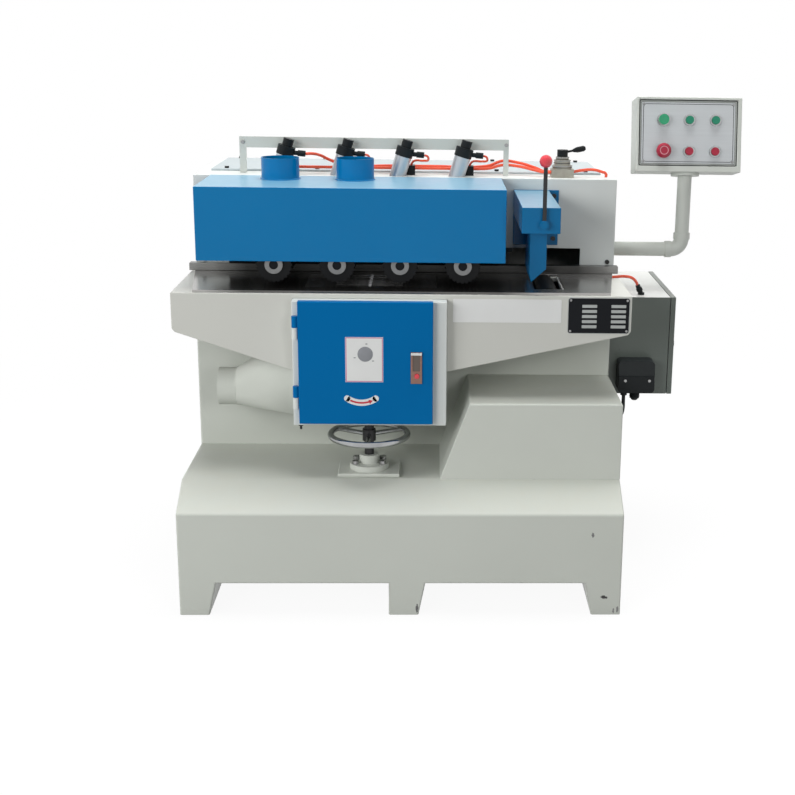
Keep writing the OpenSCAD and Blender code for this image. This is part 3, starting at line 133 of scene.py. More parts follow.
# %% One node each
def sums(tree, operation, *values):
    """The result of one Math node."""
    return wire(tree, "ShaderNodeMath", operation=operation, inputs=dict(enumerate(values))).outputs[0]


def vectors(tree, operation, *values):
    """The outputs of one Vector Math node."""
    return wire(tree, "ShaderNodeVectorMath", operation=operation, inputs=dict(enumerate(values))).outputs


def ranged(tree, value, low=0.0, high=1.0, to_low=0.0, to_high=1.0):
    """A value moved from one range to another and held at its ends."""
    return wire(tree, "ShaderNodeMapRange", inputs={
        "Value": value, "From Min": low, "From Max": high, "To Min": to_low, "To Max": to_high}).outputs[0]


def blended(tree, share, under, over, blend="MIX"):
    """Two colours mixed by the share of the second."""
    return wire(tree, "ShaderNodeMix", data_type="RGBA", blend_type=blend, inputs={
        "Factor": share, 6: under, 7: over}).outputs[2]


def own_place(tree):
    """The point of the surface in the object's own coordinates."""
    return wire(tree, "ShaderNodeTexCoord").outputs["Object"]


def noise(tree, where, scale, detail=2.0, rough=0.5):
    """Soft noise between 0 and 1."""
    return wire(tree, "ShaderNodeTexNoise", inputs={
        "Vector": where, "Scale": scale, "Detail": detail, "Roughness": rough}).outputs[0]


# %% [markdown]
# ## Sky and floor
# The machine stands cut out on white, under a wide soft light. A bright world would show white too, but it would
# flood the machine with light. So the Light Path node tells the rays apart: to the camera, to mirrors and to
# glass the sky is white, while the light that falls on the machine stays at a plain level. The floor works in
# the same way: it is paper near the machine, where it carries the shadow, and plain white further away.


# %% Sky
SKY_LIGHT = 0.03


def seen_directly(tree):
    """A mask that is 1 where the camera, a mirror or glass looks."""
    rays = wire(tree, "ShaderNodeLightPath").outputs
    seen = sums(tree, "MAXIMUM", rays["Is Camera Ray"], rays["Is Glossy Ray"])
    return sums(tree, "MAXIMUM", seen, rays["Is Transmission Ray"])


world = bpy.data.worlds.new("soft_sky")
bpy.context.scene.world = world
world.use_nodes = True
sky = world.node_tree
sky.nodes.clear()
level = ranged(sky, seen_directly(sky), to_low=SKY_LIGHT)
glow = wire(sky, "ShaderNodeBackground", inputs={"Color": WHITE, "Strength": level})
wire(sky, "ShaderNodeOutputWorld", inputs={"Surface": glow.outputs[0]})
print("sky light:", SKY_LIGHT)

# %% Floor
FLOOR_TONE, FLOOR_REACH, FLOOR_DROP = 0.32, 14, 0.0005
SHADOW_NEAR, SHADOW_FAR, NEAR_WHITE = 0.8, 3.0, 0.93


def floor_finish():
    """White floor: lit and shaded like paper near the machine, and plain white to the camera further away."""
    finish = bpy.data.materials.new("studio_floor")
    finish.use_nodes = True
    tree = finish.node_tree
    tree.nodes.clear()
    seen = seen_directly(tree)
    paper = wire(tree, "ShaderNodeBsdfDiffuse", inputs={"Color": ranged(tree, seen, to_low=FLOOR_TONE)})
    lift = wire(tree, "ShaderNodeEmission", inputs={"Color": WHITE, "Strength": 1.0})
    away = vectors(tree, "LENGTH", own_place(tree))["Value"]
    fade = ranged(tree, away, SHADOW_NEAR, SHADOW_FAR, NEAR_WHITE)
    mixed = wire(tree, "ShaderNodeMixShader", inputs={
        0: sums(tree, "MULTIPLY", seen, fade), 1: paper.outputs[0], 2: lift.outputs[0]})
    wire(tree, "ShaderNodeOutputMaterial", inputs={"Surface": mixed.outputs[0]})
    return finish


sheet = bmesh.new()
bmesh.ops.create_grid(sheet, x_segments=1, y_segments=1, size=FLOOR_REACH)
floor_mesh = bpy.data.meshes.new("studio_floor")
sheet.to_mesh(floor_mesh)
sheet.free()
floor = bpy.data.objects.new("studio_floor", floor_mesh)
floor.location.z = -FLOOR_DROP
floor_mesh.materials.append(floor_finish())
bpy.context.scene.collection.objects.link(floor)
print("floor reaches", FLOOR_REACH, "m each way")

# %% [markdown]
# ## Lamps
# Large square lamps stand for the windows and the ceiling of a hall: soft light from the front and from above,
# and weaker light from the sides and the back. One sun would be quicker, but its shadows are hard. Mirrors don't
# show the lamps, because square patches would stand out on the glossy paint.

# %% Lamps
LOOK_AT = Vector((0, 0, 0.7))
LAMPS = [
    ("front_left", (-2.4, -4.4, 1.8), 1.5, 74), ("front_right", (1.8, -4.4, 1.8), 1.5, 43),
    ("overhead", (0.2, 0.2, 4.8), 3.0, 218), ("left_side", (-4.4, -0.8, 1.6), 2.2, 45),
    ("left_window", (-3.4, -3.0, 2.4), 1.6, 46), ("back_fill", (0.4, 4.8, 2.4), 3.2, 90),
    ("right_fill", (4.8, 1.4, 1.8), 2.4, 60)]


def soft_lamp(name, place, size, watts):
    """One large square lamp that looks at the middle of the machine."""
    lamp = bpy.data.lights.new(name, "AREA")
    lamp.shape = "SQUARE"
    lamp.size, lamp.energy = size, watts
    holder = bpy.data.objects.new(name, lamp)
    holder.location = place
    holder.visible_glossy = False
    holder.rotation_euler = (LOOK_AT - Vector(place)).to_track_quat("-Z", "Y").to_euler()
    bpy.context.scene.collection.objects.link(holder)


for lamp in LAMPS:
    soft_lamp(*lamp)
print("lamps:", len(LAMPS), "with", sum(watts for *_, watts in LAMPS), "W in all")

# %% [markdown]
# ## Shared surface effects
# Paint, steel and plastic on a used machine show the same few effects in different strengths. They could be
# built again in each material. Here each effect is one node group, placed in every finish that needs it with its
# own values, so that a change to the group reaches them all. The sockets are the group's named inputs and
# outputs.


# %% An empty effect
NUMBER, TINT, ARROW = "NodeSocketFloat", "NodeSocketColor", "NodeSocketVector"


def effect(name, inputs, outputs):
    """An empty shader group with its named sockets."""
    group = bpy.data.node_groups.new(name, "ShaderNodeTree")
    for label, kind, value in inputs:
        socket = group.interface.new_socket(label, in_out="INPUT", socket_type=kind)
        socket.default_value = value
    for label, kind in outputs:
        group.interface.new_socket(label, in_out="OUTPUT", socket_type=kind)
    return group, group.nodes.new("NodeGroupInput").outputs, group.nodes.new("NodeGroupOutput").inputs


# %% [markdown]
# ### Clouds of tone
# A coat of paint is thicker in one place and thinner in the next, so it is never one flat colour. A painted
# image could show that, but it would stretch over the folds. Noise in the object's own coordinates runs on
# through every face: a slow one mixes in a second tone, and a finer one moves the gloss.


# %% Clouds of tone
def tone_clouds():
    """Slow clouds of a second tone over a base colour, with a finer speckle in the roughness."""
    group, given, out = effect("tone_clouds", [
        ("Color", TINT, WHITE), ("Tone", TINT, (0.5, 0.5, 0.5, 1)), ("Scale", NUMBER, 4.0),
        ("Amount", NUMBER, 0.3), ("Gloss", NUMBER, 0.35), ("Spread", NUMBER, 0.12)],
        [("Color", TINT), ("Roughness", NUMBER)])
    place = own_place(group)
    clouds = noise(group, place, given["Scale"], detail=5.0, rough=0.6)
    share = ranged(group, clouds, 0.38, 0.7, 0.0, given["Amount"])
    fine = noise(group, place, sums(group, "MULTIPLY", given["Scale"], 9.0), detail=3.0)
    speckle = sums(group, "SUBTRACT", fine, 0.5)
    rough = sums(group, "MULTIPLY_ADD", speckle, given["Spread"], given["Gloss"])
    group.links.new(blended(group, share, given["Color"], given["Tone"]), out["Color"])
    group.links.new(rough, out["Roughness"])
    return group


CLOUDS = tone_clouds()
print("effect:", CLOUDS.name)

# %% [markdown]
# ### Skin of sprayed paint
# Paint from a spray gun dries with a fine dimpled skin, and the thin sheet under it is never quite flat.
# Modelling either would take millions of faces, so a bump from two noises bends the light instead.


# %% Skin of sprayed paint
def paint_skin():
    """The fine orange-peel skin of sprayed paint, with longer waves of thin sheet under it."""
    group, given, out = effect("paint_skin", [
        ("Scale", NUMBER, 420.0), ("Strength", NUMBER, 0.05)], [("Normal", ARROW)])
    place = own_place(group)
    peel = noise(group, place, given["Scale"])
    waves = noise(group, place, 5.0)
    bump = wire(group, "ShaderNodeBump", inputs={
        "Strength": given["Strength"], "Distance": 0.0006,
        "Height": sums(group, "MULTIPLY_ADD", waves, 6.0, peel)})
    group.links.new(bump.outputs[0], out["Normal"])
    return group


SKIN = paint_skin()
print("effect:", SKIN.name)

# %% [markdown]
# ### Rubbed edges
# Hands and boards rub the paint off outer edges first. Such wear can be painted by hand, edge by edge. The Bevel
# node finds the edges by itself: where the normal of a rounded edge leaves the true normal, there is an edge,
# and a noise breaks the worn line into patches.


# %% Rubbed edges
def rubbed_edges():
    """A mask that is 1 on worn outer edges."""
    group, given, out = effect("rubbed_edges", [
        ("Width", NUMBER, 0.002), ("Amount", NUMBER, 0.5), ("Scale", NUMBER, 60.0)], [("Mask", NUMBER)])
    normal = wire(group, "ShaderNodeNewGeometry").outputs["Normal"]
    rounded = wire(group, "ShaderNodeBevel", samples=4, inputs={"Radius": given["Width"]})
    edge = ranged(group, vectors(group, "DOT_PRODUCT", rounded.outputs[0], normal)["Value"], 0.995, 0.86)
    patches = noise(group, own_place(group), given["Scale"], detail=4.0)
    limit = sums(group, "SUBTRACT", 1.0, given["Amount"])
    mask = ranged(group, sums(group, "MULTIPLY", edge, patches), limit, sums(group, "ADD", limit, 0.12))
    group.links.new(mask, out["Mask"])
    return group


EDGES = rubbed_edges()
print("effect:", EDGES.name)

# %% [markdown]
# ### Settled dust
# A saw spreads wood dust, and it stays on the faces that look up. Loose grains would be far too many to model.
# The upward part of the normal finds those faces, and a ragged noise thins the film.


# %% Settled dust
def settled_dust():
    """Pale wood dust on faces that look up, thin and patchy."""
    group, given, out = effect("settled_dust", [
        ("Color", TINT, WHITE), ("Dust", TINT, (0.62, 0.55, 0.42, 1)), ("Amount", NUMBER, 0.2)],
        [("Color", TINT), ("Mask", NUMBER)])
    normal = wire(group, "ShaderNodeNewGeometry").outputs["Normal"]
    upward = wire(group, "ShaderNodeSeparateXYZ", inputs={0: normal}).outputs["Z"]
    patches = noise(group, own_place(group), 26.0, detail=6.0, rough=0.7)
    spread = ranged(group, patches, 0.35, 0.75, 0.0, given["Amount"])
    mask = sums(group, "MULTIPLY", ranged(group, upward, 0.55, 0.95), spread)
    group.links.new(blended(group, mask, given["Color"], given["Dust"]), out["Color"])
    group.links.new(mask, out["Mask"])
    return group


DUST = settled_dust()
print("effect:", DUST.name)

# %% [markdown]
# ### Straight scratches
# A grinder or a brush leaves fine lines that all run one way. An image of them would need a map for every part.
# Noise that is drawn out far along one axis gives the same lines at any size, and one noise serves tone, gloss
# and bump.


# %% Straight scratches
def straight_scratches():
    """Long fine scratches along one direction, as a grinder or a brush leaves them."""
    group, given, out = effect("straight_scratches", [
        ("Stretch", ARROW, (4.0, 260.0, 260.0)), ("Strength", NUMBER, 0.12), ("Gloss", NUMBER, 0.35),
        ("Spread", NUMBER, 0.3)], [("Value", NUMBER), ("Roughness", NUMBER), ("Normal", ARROW)])
    drawn = vectors(group, "MULTIPLY", own_place(group), given["Stretch"])[0]
    lines = noise(group, drawn, 1.0, detail=4.0)
    centred = sums(group, "SUBTRACT", lines, 0.5)
    bump = wire(group, "ShaderNodeBump", inputs={
        "Strength": given["Strength"], "Distance": 0.0003, "Height": lines})
    group.links.new(lines, out["Value"])
    group.links.new(sums(group, "MULTIPLY_ADD", centred, given["Spread"], given["Gloss"]), out["Roughness"])
    group.links.new(bump.outputs[0], out["Normal"])
    return group


SCRATCHES = straight_scratches()
print("effect:", SCRATCHES.name)

# %% [markdown]
# ### Painted shade under the guard
# Under the guard and its rollers, the table and its fence lie in shade, and their steel mirrors the dark inside.
# That shade and dark reflection are painted into their colour. Painting it by hand would tie it to one mesh. A mask
# over a span of x serves both parts, and a noise added to x makes its ends ragged.


# %% Painted shade under the guard
def painted_shade_band():
    """A mask over a span of x with ragged, soft ends, where the shade under the guard is painted in."""
    group, given, out = effect("painted_shade_band", [
        ("Start", NUMBER, -0.5), ("End", NUMBER, 0.2)], [("Mask", NUMBER)])
    place = own_place(group)
    across = wire(group, "ShaderNodeSeparateXYZ", inputs={0: place}).outputs["X"]
    along = sums(group, "MULTIPLY_ADD", noise(group, place, 9.0), 0.06, across)
    ends = [ranged(group, along, given[end], sums(group, "ADD", given[end], fade))
            for end, fade in (("Start", 0.09), ("End", -0.09))]
    group.links.new(sums(group, "MULTIPLY", *ends), out["Mask"])
    return group


SHADE_BAND = painted_shade_band()
print("effect:", SHADE_BAND.name)

# %% [markdown]
# ### Chipped spots
# Knocks have chipped the paint of the plinth and its feet. A chip is only as deep as the paint, so it needs no
# hole in the mesh: a mask at a given place, whose border a noise makes ragged, shows the primer under it.


# %% Chipped spots
def chipped_spot():
    """A mask that is 1 in one ragged chip, whose size is given in metres."""
    group, given, out = effect("chipped_spot", [
        ("Place", ARROW, (0, 0, 0)), ("Size", ARROW, (0.01, 0.01, 0.01))], [("Mask", NUMBER)])
    place = own_place(group)
    away = vectors(group, "SUBTRACT", place, given["Place"])[0]
    reach = vectors(group, "LENGTH", vectors(group, "DIVIDE", away, given["Size"])[0])["Value"]
    ragged = noise(group, place, 190.0)
    mask = ranged(group, sums(group, "MULTIPLY_ADD", ragged, 0.9, reach), 1.03, 0.93)
    group.links.new(mask, out["Mask"])
    return group


CHIP = chipped_spot()
print("effect:", CHIP.name)

# %% [markdown]
# ## Sprayed paint
# The machine's sheet metal is sprayed in a warm grey, its guard and door in blue, its cabinet in a dark grey.
# One material for each could be built from nothing. Here one recipe gives all the paints: a Principled shader,
# with the effects above feeding its colour, its roughness and its normal, so that only tone, gloss and wear
# differ.


# %% Helpers for finishes
FINISH_NAMES = []


def placed(tree, group, **inputs):
    """Puts a shared effect into a material with its own values."""
    return wire(tree, "ShaderNodeGroup", node_tree=group, inputs=inputs).outputs


def blank_finish(name, **shader_values):
    """A material with one Principled shader whose plain values are set."""
    finish = bpy.data.materials.new(name)
    FINISH_NAMES.append(name)
    finish.use_nodes = True
    shader = finish.node_tree.nodes["Principled BSDF"]
    for label, value in shader_values.items():
        shader.inputs[label.replace("_", " ")].default_value = value
    return finish, finish.node_tree, shader


def feed(tree, shader, color, roughness, normal):
    """Links what changes over the surface to the shader."""
    tree.links.new(color, shader.inputs["Base Color"])
    tree.links.new(roughness, shader.inputs["Roughness"])
    tree.links.new(normal, shader.inputs["Normal"])


def grey(shade):
    """A neutral colour that gives back one share of the light."""
    return (shade, shade, shade, 1)


# %% Recipe for sprayed paint
BARE_METAL = (0.17, 0.165, 0.16, 1)
CHIP_DEPTH = 0.02


def sprayed_paint(name, color, tone, gloss=0.35, wear=0.42, dust=0.12, skin=0.04, sheen_level=0.5, chips=()):
    """Sprayed machine paint with clouds of tone, a fine skin, dust on top and bare metal on rubbed edges. A chip
    in the front of the machine is its x and z, its width and height, and the share of light it gives back."""
    finish, tree, shader = blank_finish(name, IOR=1.5, Specular_IOR_Level=sheen_level)
    clouds = placed(tree, CLOUDS, Color=(*color, 1), Tone=(*tone, 1), Scale=3.2, Amount=0.25, Gloss=gloss)
    dusty = placed(tree, DUST, Color=clouds["Color"], Amount=dust)
    edges = placed(tree, EDGES, Width=0.0018, Amount=wear, Scale=46.0)
    color_out = blended(tree, edges["Mask"], dusty["Color"], BARE_METAL)
    for x, z, wide, tall, shade in chips:
        chip = placed(tree, CHIP, Place=at(x, 0, z), Size=(wide / 1000, CHIP_DEPTH, tall / 1000))
        color_out = blended(tree, chip["Mask"], color_out, grey(shade))
    rough = sums(tree, "MULTIPLY_ADD", dusty["Mask"], 0.5, clouds["Roughness"])
    feed(tree, shader, color_out, rough, placed(tree, SKIN, Strength=skin)["Normal"])
    return finish


# %% Paints
PLINTH_CHIPS = [(509, 48, 12, 8, 0.02), (515, 47, 9, 6, 0.03), (477, 215, 6, 12, 0.16), (39, 17, 6, 20, 0.12),
                (546, 14, 5, 16, 0.2), (536, 11, 4, 12, 0.22)]
GLOSSY_BLUE = dict(gloss=0.16, wear=0.36, dust=0.06, skin=0.012, sheen_level=0.18)
base_paint = sprayed_paint("base_paint", (0.56, 0.585, 0.535), (0.49, 0.51, 0.465), gloss=0.42,
                           chips=PLINTH_CHIPS)
white_paint = sprayed_paint("white_paint", (0.57, 0.575, 0.535), (0.51, 0.515, 0.475), gloss=0.36)
casing_paint = sprayed_paint("casing_paint", (0.655, 0.685, 0.665), (0.59, 0.615, 0.595), gloss=0.42, dust=0.05,
                             sheen_level=0.2)
lid_paint = sprayed_paint("lid_paint", (0.425, 0.48, 0.5), (0.385, 0.435, 0.455), gloss=0.4, dust=0.1,
                          sheen_level=0.2)
box_paint = sprayed_paint("box_paint", (0.57, 0.595, 0.555), (0.51, 0.535, 0.5), gloss=0.45)
cabinet_paint = sprayed_paint("cabinet_paint", (0.122, 0.142, 0.127), (0.104, 0.12, 0.108), gloss=0.3,
                              sheen_level=0.4)
blue_paint = sprayed_paint("blue_paint", (0.0015, 0.165, 0.395), (0.0015, 0.14, 0.34), **GLOSSY_BLUE)
hood_paint = sprayed_paint("hood_paint", (0.0015, 0.14, 0.33), (0.0015, 0.12, 0.285), **GLOSSY_BLUE)
# the guard's blue, made darker on the door: painted shade under the table's overhang
door_blue_painted_shade = sprayed_paint("door_blue_painted_shade", (0.001, 0.135, 0.37), (0.001, 0.115, 0.32), gloss=0.3, wear=0.36,
                           dust=0.02, skin=0.012, sheen_level=0.05)
motor_paint = sprayed_paint("motor_paint", (0.09, 0.12, 0.15), (0.06, 0.08, 0.1), gloss=0.45)
print("paints:", ", ".join(FINISH_NAMES))

# %% [markdown]
# ## Steel, iron and aluminium
# The table is ground, shafts are turned, the panel is brushed and the castings are rough. All of them carry the
# marks of a tool, so one recipe draws straight marks in the direction of the work and lets tone, gloss and
# metallic set the metal. The table and the fence also take a band of painted shade under the guard.


# %% Recipe for worked metal
def worked_metal(name, color, dark, stretch, gloss=0.34, spread=0.3, blend=0.5, metallic=0.9, strength=0.1,
                 marks=0.45, shade_band=None):
    """Metal with straight working marks that darken it a little. A shade band is the span of x under the guard
    where shade is painted into its colour, with the share of the tone that is left there."""
    finish, tree, shader = blank_finish(name, Metallic=metallic)
    lines = placed(tree, SCRATCHES, Stretch=stretch, Strength=strength, Gloss=gloss, Spread=spread)
    clouds = placed(tree, CLOUDS, Color=(*color, 1), Tone=(*dark, 1), Scale=5.0, Amount=blend)
    color_out = blended(tree, marks, clouds["Color"], lines["Value"], "MULTIPLY")
    if shade_band:
        start, end, left = shade_band
        # painted shade: the colour is darkened over the span of x that lies under the guard
        shade_mask = placed(tree, SHADE_BAND, Start=at(start, 0, 0).x, End=at(end, 0, 0).x)
        color_out = blended(tree, shade_mask["Mask"], color_out, grey(left), "MULTIPLY")
    feed(tree, shader, color_out, lines["Roughness"], lines["Normal"])
    return finish


# %% Metals of the table and the drive
# the table is darkened by painted shade under the guard from x -455 to 370 mm
table_steel = worked_metal("table_steel", (0.5, 0.49, 0.475), (0.38, 0.375, 0.36), (3, 210, 210), gloss=0.2,
                           spread=0.12, strength=0.05, marks=0.3, shade_band=(-455, 370, 0.3))
# the fence is darker than the table: painted shade under the guard and a painted dark reflection on its front
fence_steel = worked_metal("fence_steel", (0.3, 0.3, 0.29), (0.2, 0.2, 0.19), (3, 210, 210), gloss=0.3,
                           metallic=0.8, marks=0.3, shade_band=(-480, 590, 0.24))
throat_steel = worked_metal("throat_steel", (0.4, 0.4, 0.395), (0.3, 0.3, 0.295), (60, 3, 60), gloss=0.22,
                            spread=0.1, strength=0.03, marks=0.15)
turned_steel = worked_metal("turned_steel", (0.5, 0.5, 0.5), (0.3, 0.3, 0.3), (260, 3, 260), gloss=0.32)
oiled_steel = worked_metal("oiled_steel", (0.05, 0.05, 0.052), (0.025, 0.025, 0.026), (60, 60, 60), gloss=0.42,
                           metallic=0.6)
# near black: painted shade on the press rollers under the guard and on the bed roller in its slot in the table
roller_painted_shade = worked_metal("roller_painted_shade", (0.014, 0.015, 0.016), (0.008, 0.008, 0.009), (80, 8, 80),
                            gloss=0.55, metallic=0.7)
blade_steel = worked_metal("blade_steel", (0.6, 0.61, 0.63), (0.5, 0.5, 0.52), (40, 40, 40), gloss=0.25)
cast_iron = worked_metal("cast_iron", (0.16, 0.175, 0.175), (0.1, 0.11, 0.11), (150, 150, 150), gloss=0.6,
                         metallic=0.3, strength=0.3)
print("finishes so far:", len(FINISH_NAMES))

# %% Metals of the fittings
bright_alloy = worked_metal("bright_alloy", (0.62, 0.65, 0.68), (0.52, 0.55, 0.58), (90, 90, 8), gloss=0.38,
                            marks=0.2)
latch_metal = worked_metal("latch_metal", (0.34, 0.19, 0.15), (0.26, 0.14, 0.11), (20, 20, 120), gloss=0.4,
                           metallic=0.3)
valve_metal = worked_metal("valve_metal", (0.5, 0.48, 0.41), (0.4, 0.38, 0.32), (50, 50, 50), gloss=0.42,
                           metallic=0.6)
panel_alloy = worked_metal("panel_alloy", (0.56, 0.585, 0.6), (0.52, 0.55, 0.565), (5, 240, 240), gloss=0.45,
                           spread=0.08, blend=0.3, metallic=0.15, strength=0.02, marks=0.12)
wheel_chrome = worked_metal("wheel_chrome", (0.5, 0.51, 0.52), (0.42, 0.43, 0.44), (30, 30, 30), gloss=0.17,
                            spread=0.06, blend=0.2, metallic=1.0, strength=0.01)
print("finishes so far:", len(FINISH_NAMES))

# %% [markdown]
# ## Plastics and rubber
# Buttons, tubes, caps and belts are moulded. A mould leaves a fine even grain, and a glossy button also has a
# clear top layer, which the shader's coat gives. Size of grain, gloss and coat are all that tells them apart.


# %% Recipe for moulded parts
def moulded(name, color, gloss=0.35, grain=0.05, scale=700.0, coat=0.0, tone=0.75, sheen_level=0.5):
    """Moulded plastic or rubber with a fine grain."""
    finish, tree, shader = blank_finish(name, IOR=1.47, Specular_IOR_Level=sheen_level, Coat_Weight=coat,
                                        Coat_Roughness=0.08)
    clouds = placed(tree, CLOUDS, Color=(*color, 1), Tone=(*[c * tone for c in color], 1), Scale=14.0,
                    Amount=0.5, Gloss=gloss, Spread=0.1)
    grained = placed(tree, SKIN, Scale=scale, Strength=grain)
    feed(tree, shader, clouds["Color"], clouds["Roughness"], grained["Normal"])
    return finish


black_plastic = moulded("black_plastic", (0.01, 0.012, 0.013), gloss=0.42, grain=0.1, sheen_level=0.2)
red_plastic = moulded("red_plastic", (0.36, 0.008, 0.035), gloss=0.3, coat=0.2)
ball_red = moulded("ball_red", (0.7, 0.03, 0.05), gloss=0.16, coat=0.6)
green_plastic = moulded("green_plastic", (0.003, 0.2, 0.11), gloss=0.3, coat=0.2)
lamp_green = moulded("lamp_green", (0.003, 0.3, 0.13), gloss=0.2, coat=0.5)
tube_red = moulded("tube_red", (0.82, 0.09, 0.035), gloss=0.2, coat=0.3, tone=0.9)
belt_rubber = moulded("belt_rubber", (0.02, 0.02, 0.02), gloss=0.7, grain=0.2, scale=300.0)
gear_plastic = moulded("gear_plastic", (0.35, 0.36, 0.37), gloss=0.45)
print("finishes so far:", len(FINISH_NAMES))

# %% [markdown]
# ## A finish for every solid
# Each solid came in with a plain stand-in material. The table below gives every one of them its finish, so that
# also the parts inside the machine, which show when a door is open, are finished.

# %% A finish for every solid
FINISHES = {
    base_paint: "base_frame motor_cover dust_chute lift_bearing",
    white_paint: "table_body",
    casing_paint: "feed_casing saw_chamber",
    lid_paint: "casing_lid",
    box_paint: "control_box panel_arm cylinder_rail",
    cabinet_paint: "cabinet cabinet_door",
    blue_paint: "roller_guard",
    hood_paint: "kickback_housing kickback_fingers",
    door_blue_painted_shade: "chamber_door",
    table_steel: "table_plate",
    fence_steel: "fence_rail",
    throat_steel: "throat_plate",
    # the rollers are near black: painted shade
    roller_painted_shade: "bed_roller press_roller_1 press_roller_2 press_roller_3 press_roller_4",
    turned_steel: "arbor guide_posts fasteners",
    oiled_steel: "press_slide_1 press_slide_2 press_slide_3 press_slide_4 lift_screw kickback_lever",
    blade_steel: "saw_blades",
    bright_alloy: "cylinder_barrels",
    latch_metal: "latch_body",
    valve_metal: "valve_body",
    panel_alloy: "control_panel",
    cast_iron: "spindle_carriage spindle_housing arbor_pulley motor_pulley",
    wheel_chrome: "handwheel",
    black_plastic: "cylinder_caps valve_lever connector_box",
    red_plastic: "e_stop stop_button_1 stop_button_2",
    ball_red: "lever_knob latch_button",
    green_plastic: "start_button_1 start_button_2",
    lamp_green: "power_lamp",
    tube_red: "air_lines",
    belt_rubber: "drive_belts",
    motor_paint: "main_motor feed_motor",
    gear_plastic: "switchgear",
}
finish_of_node = {n: finish for finish, names in FINISHES.items() for n in names.split()}
for name, solid in nodes.items():
    for slot in solid.material_slots:
        slot.material = finish_of_node[name]
print("solids with a finish:", len(finish_of_node))

# %% [markdown]
# ## Rounded sheet metal
# Folded and welded sheet has no razor edges: every fold is a small radius that catches a line of light. A Bevel
# modifier on the solids would do, but their faces are loose triangles, and a solid is never changed. So each
# large panel gets a copy, whose triangles are merged back into whole faces and whose long outer edges are
# bevelled. The copy stands for the solid and moves with the same body. Some solids carry more than one finish,
# so a copy can also be given zones: a finish, and a test for the faces that get it.


# %% Pieces from shapes
def machine_mm(point):
    """The machine's own millimetres of a point in the shared frame."""
    return Vector((point.x * 1000 + MID_X, point.y * 1000 + MID_Y, point.z * 1000))


def made(shape, name, body, slot, *finishes, sharp=40):
    """Turns a finished bmesh into a piece that rides on a body. Edges of more degrees than sharp stay crisp."""
    mesh = bpy.data.meshes.new(name)
    shape.normal_update()
    for face in shape.faces:
        face.smooth = True
    for edge in shape.edges:
        edge.smooth = edge.calc_face_angle(0) < math.radians(sharp)
    shape.to_mesh(mesh)
    shape.free()
    for finish in finishes:
        mesh.materials.append(finish)
    piece = bpy.data.objects.new(name, mesh)
    bpy.context.scene.collection.objects.link(piece)
    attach(piece, body)
    return piece


# %% Whole faces from triangles
FLAT = math.radians(0.8)
OVERLAP, SAME_PLANE, ON_PLANE, NO_AREA = 1.3, 0.999, 1e-5, 1e-7


def holed_planes(shape):
    """The planes in which merging would close a hole: there the triangles of a merged face overlap."""
    trial = shape.copy()
    bmesh.ops.dissolve_limit(trial, angle_limit=FLAT, verts=trial.verts, edges=trial.edges)
    filled, planes = {}, {}
    for corners in trial.calc_loop_triangles():
        a, b, c = (loop.vert.co for loop in corners)
        across, face = (b - a).cross(c - a) / 2, corners[0].face
        filled[face] = filled.get(face, 0) + across.length
        if across.length > NO_AREA:
            planes.setdefault(face, (across.normalized(), a.copy()))
    holed = [planes[face] for face, area in filled.items()
             if face in planes and area > OVERLAP * face.calc_area()]
    trial.free()
    return holed


def merge_flat_faces(shape):
    """Merges the triangles of each flat face. A face with a hole can't be one polygon, so its triangles stay."""
    holed = holed_planes(shape)
    whole = [e for e in shape.edges if not any(
        abs(face.normal.dot(normal)) > SAME_PLANE and abs((e.verts[0].co - spot).dot(normal)) < ON_PLANE
        for normal, spot in holed for face in e.link_faces)]
    bmesh.ops.dissolve_limit(shape, angle_limit=FLAT, verts=shape.verts, edges=whole)


# %% Edges to round
RIM_ANGLE, BROAD = math.radians(40), 2.1


def outer_rims(shape, radius, least):
    """Long outer edges between two faces that are broad enough for the radius."""
    broad = {f: 2 * f.calc_area() / sum(e.calc_length() for e in f.edges) > BROAD * radius for f in shape.faces}
    return [e for e in shape.edges if len(e.link_faces) == 2 and e.is_convex
            and e.calc_face_angle() > RIM_ANGLE and e.calc_length() > least
            and all(broad[f] for f in e.link_faces)]


# %% Dressed copies
SAME_POINT = 1e-5


def dressed(node, radius=0.0, zones=(), least=0.02, dropped=None, reshaped=None, sharp=40):
    """A copy of a solid with its outer edges rounded, if they are longer than least, and its zones painted. Dropped
    tests the middle of a face that is left out, and reshaped moves a point. Both work in the machine's mm."""
    shape = bmesh.new()
    shape.from_mesh(nodes[node].data)
    bmesh.ops.remove_doubles(shape, verts=shape.verts, dist=SAME_POINT)
    if reshaped:
        for vert in shape.verts:
            vert.co = at(*reshaped(machine_mm(vert.co)))
    merge_flat_faces(shape)
    if dropped:
        away = [f for f in shape.faces if dropped(machine_mm(f.calc_center_median()))]
        bmesh.ops.delete(shape, geom=away, context="FACES")
    if radius:
        bmesh.ops.bevel(shape, geom=outer_rims(shape, radius, least), offset=radius, offset_type="OFFSET",
                        segments=3, profile=0.5, affect="EDGES", material=-1, clamp_overlap=False)
    for face in shape.faces:
        face.material_index = 0
        corners = [machine_mm(v.co) for v in face.verts]
        for k, (_, inside) in enumerate(zones):
            if all(inside(corner) for corner in corners):
                face.material_index = k + 1
    copy = made(shape, node + "_dressed", body_of_node[node], slot_of_node[node], finish_of_node[node],
                *[finish for finish, _ in zones], sharp=sharp)
    evened = copy.modifiers.new("even_shading", "WEIGHTED_NORMAL")
    evened.keep_sharp = True
    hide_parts(node)


# %% Rounded panels
ROUNDED = {0.005: "base_frame", 0.003: "lift_bearing cylinder_rail", 0.0024: "table_body feed_casing",
           0.002: "saw_chamber chamber_door casing_lid control_box",
           0.0012: "cabinet_door fence_rail kickback_fingers", 0.0006: "table_plate throat_plate"}
for radius, names in ROUNDED.items():
    for node in names.split():
        dressed(node, radius)
print("rounded panels:", sum(len(names.split()) for names in ROUNDED.values()))

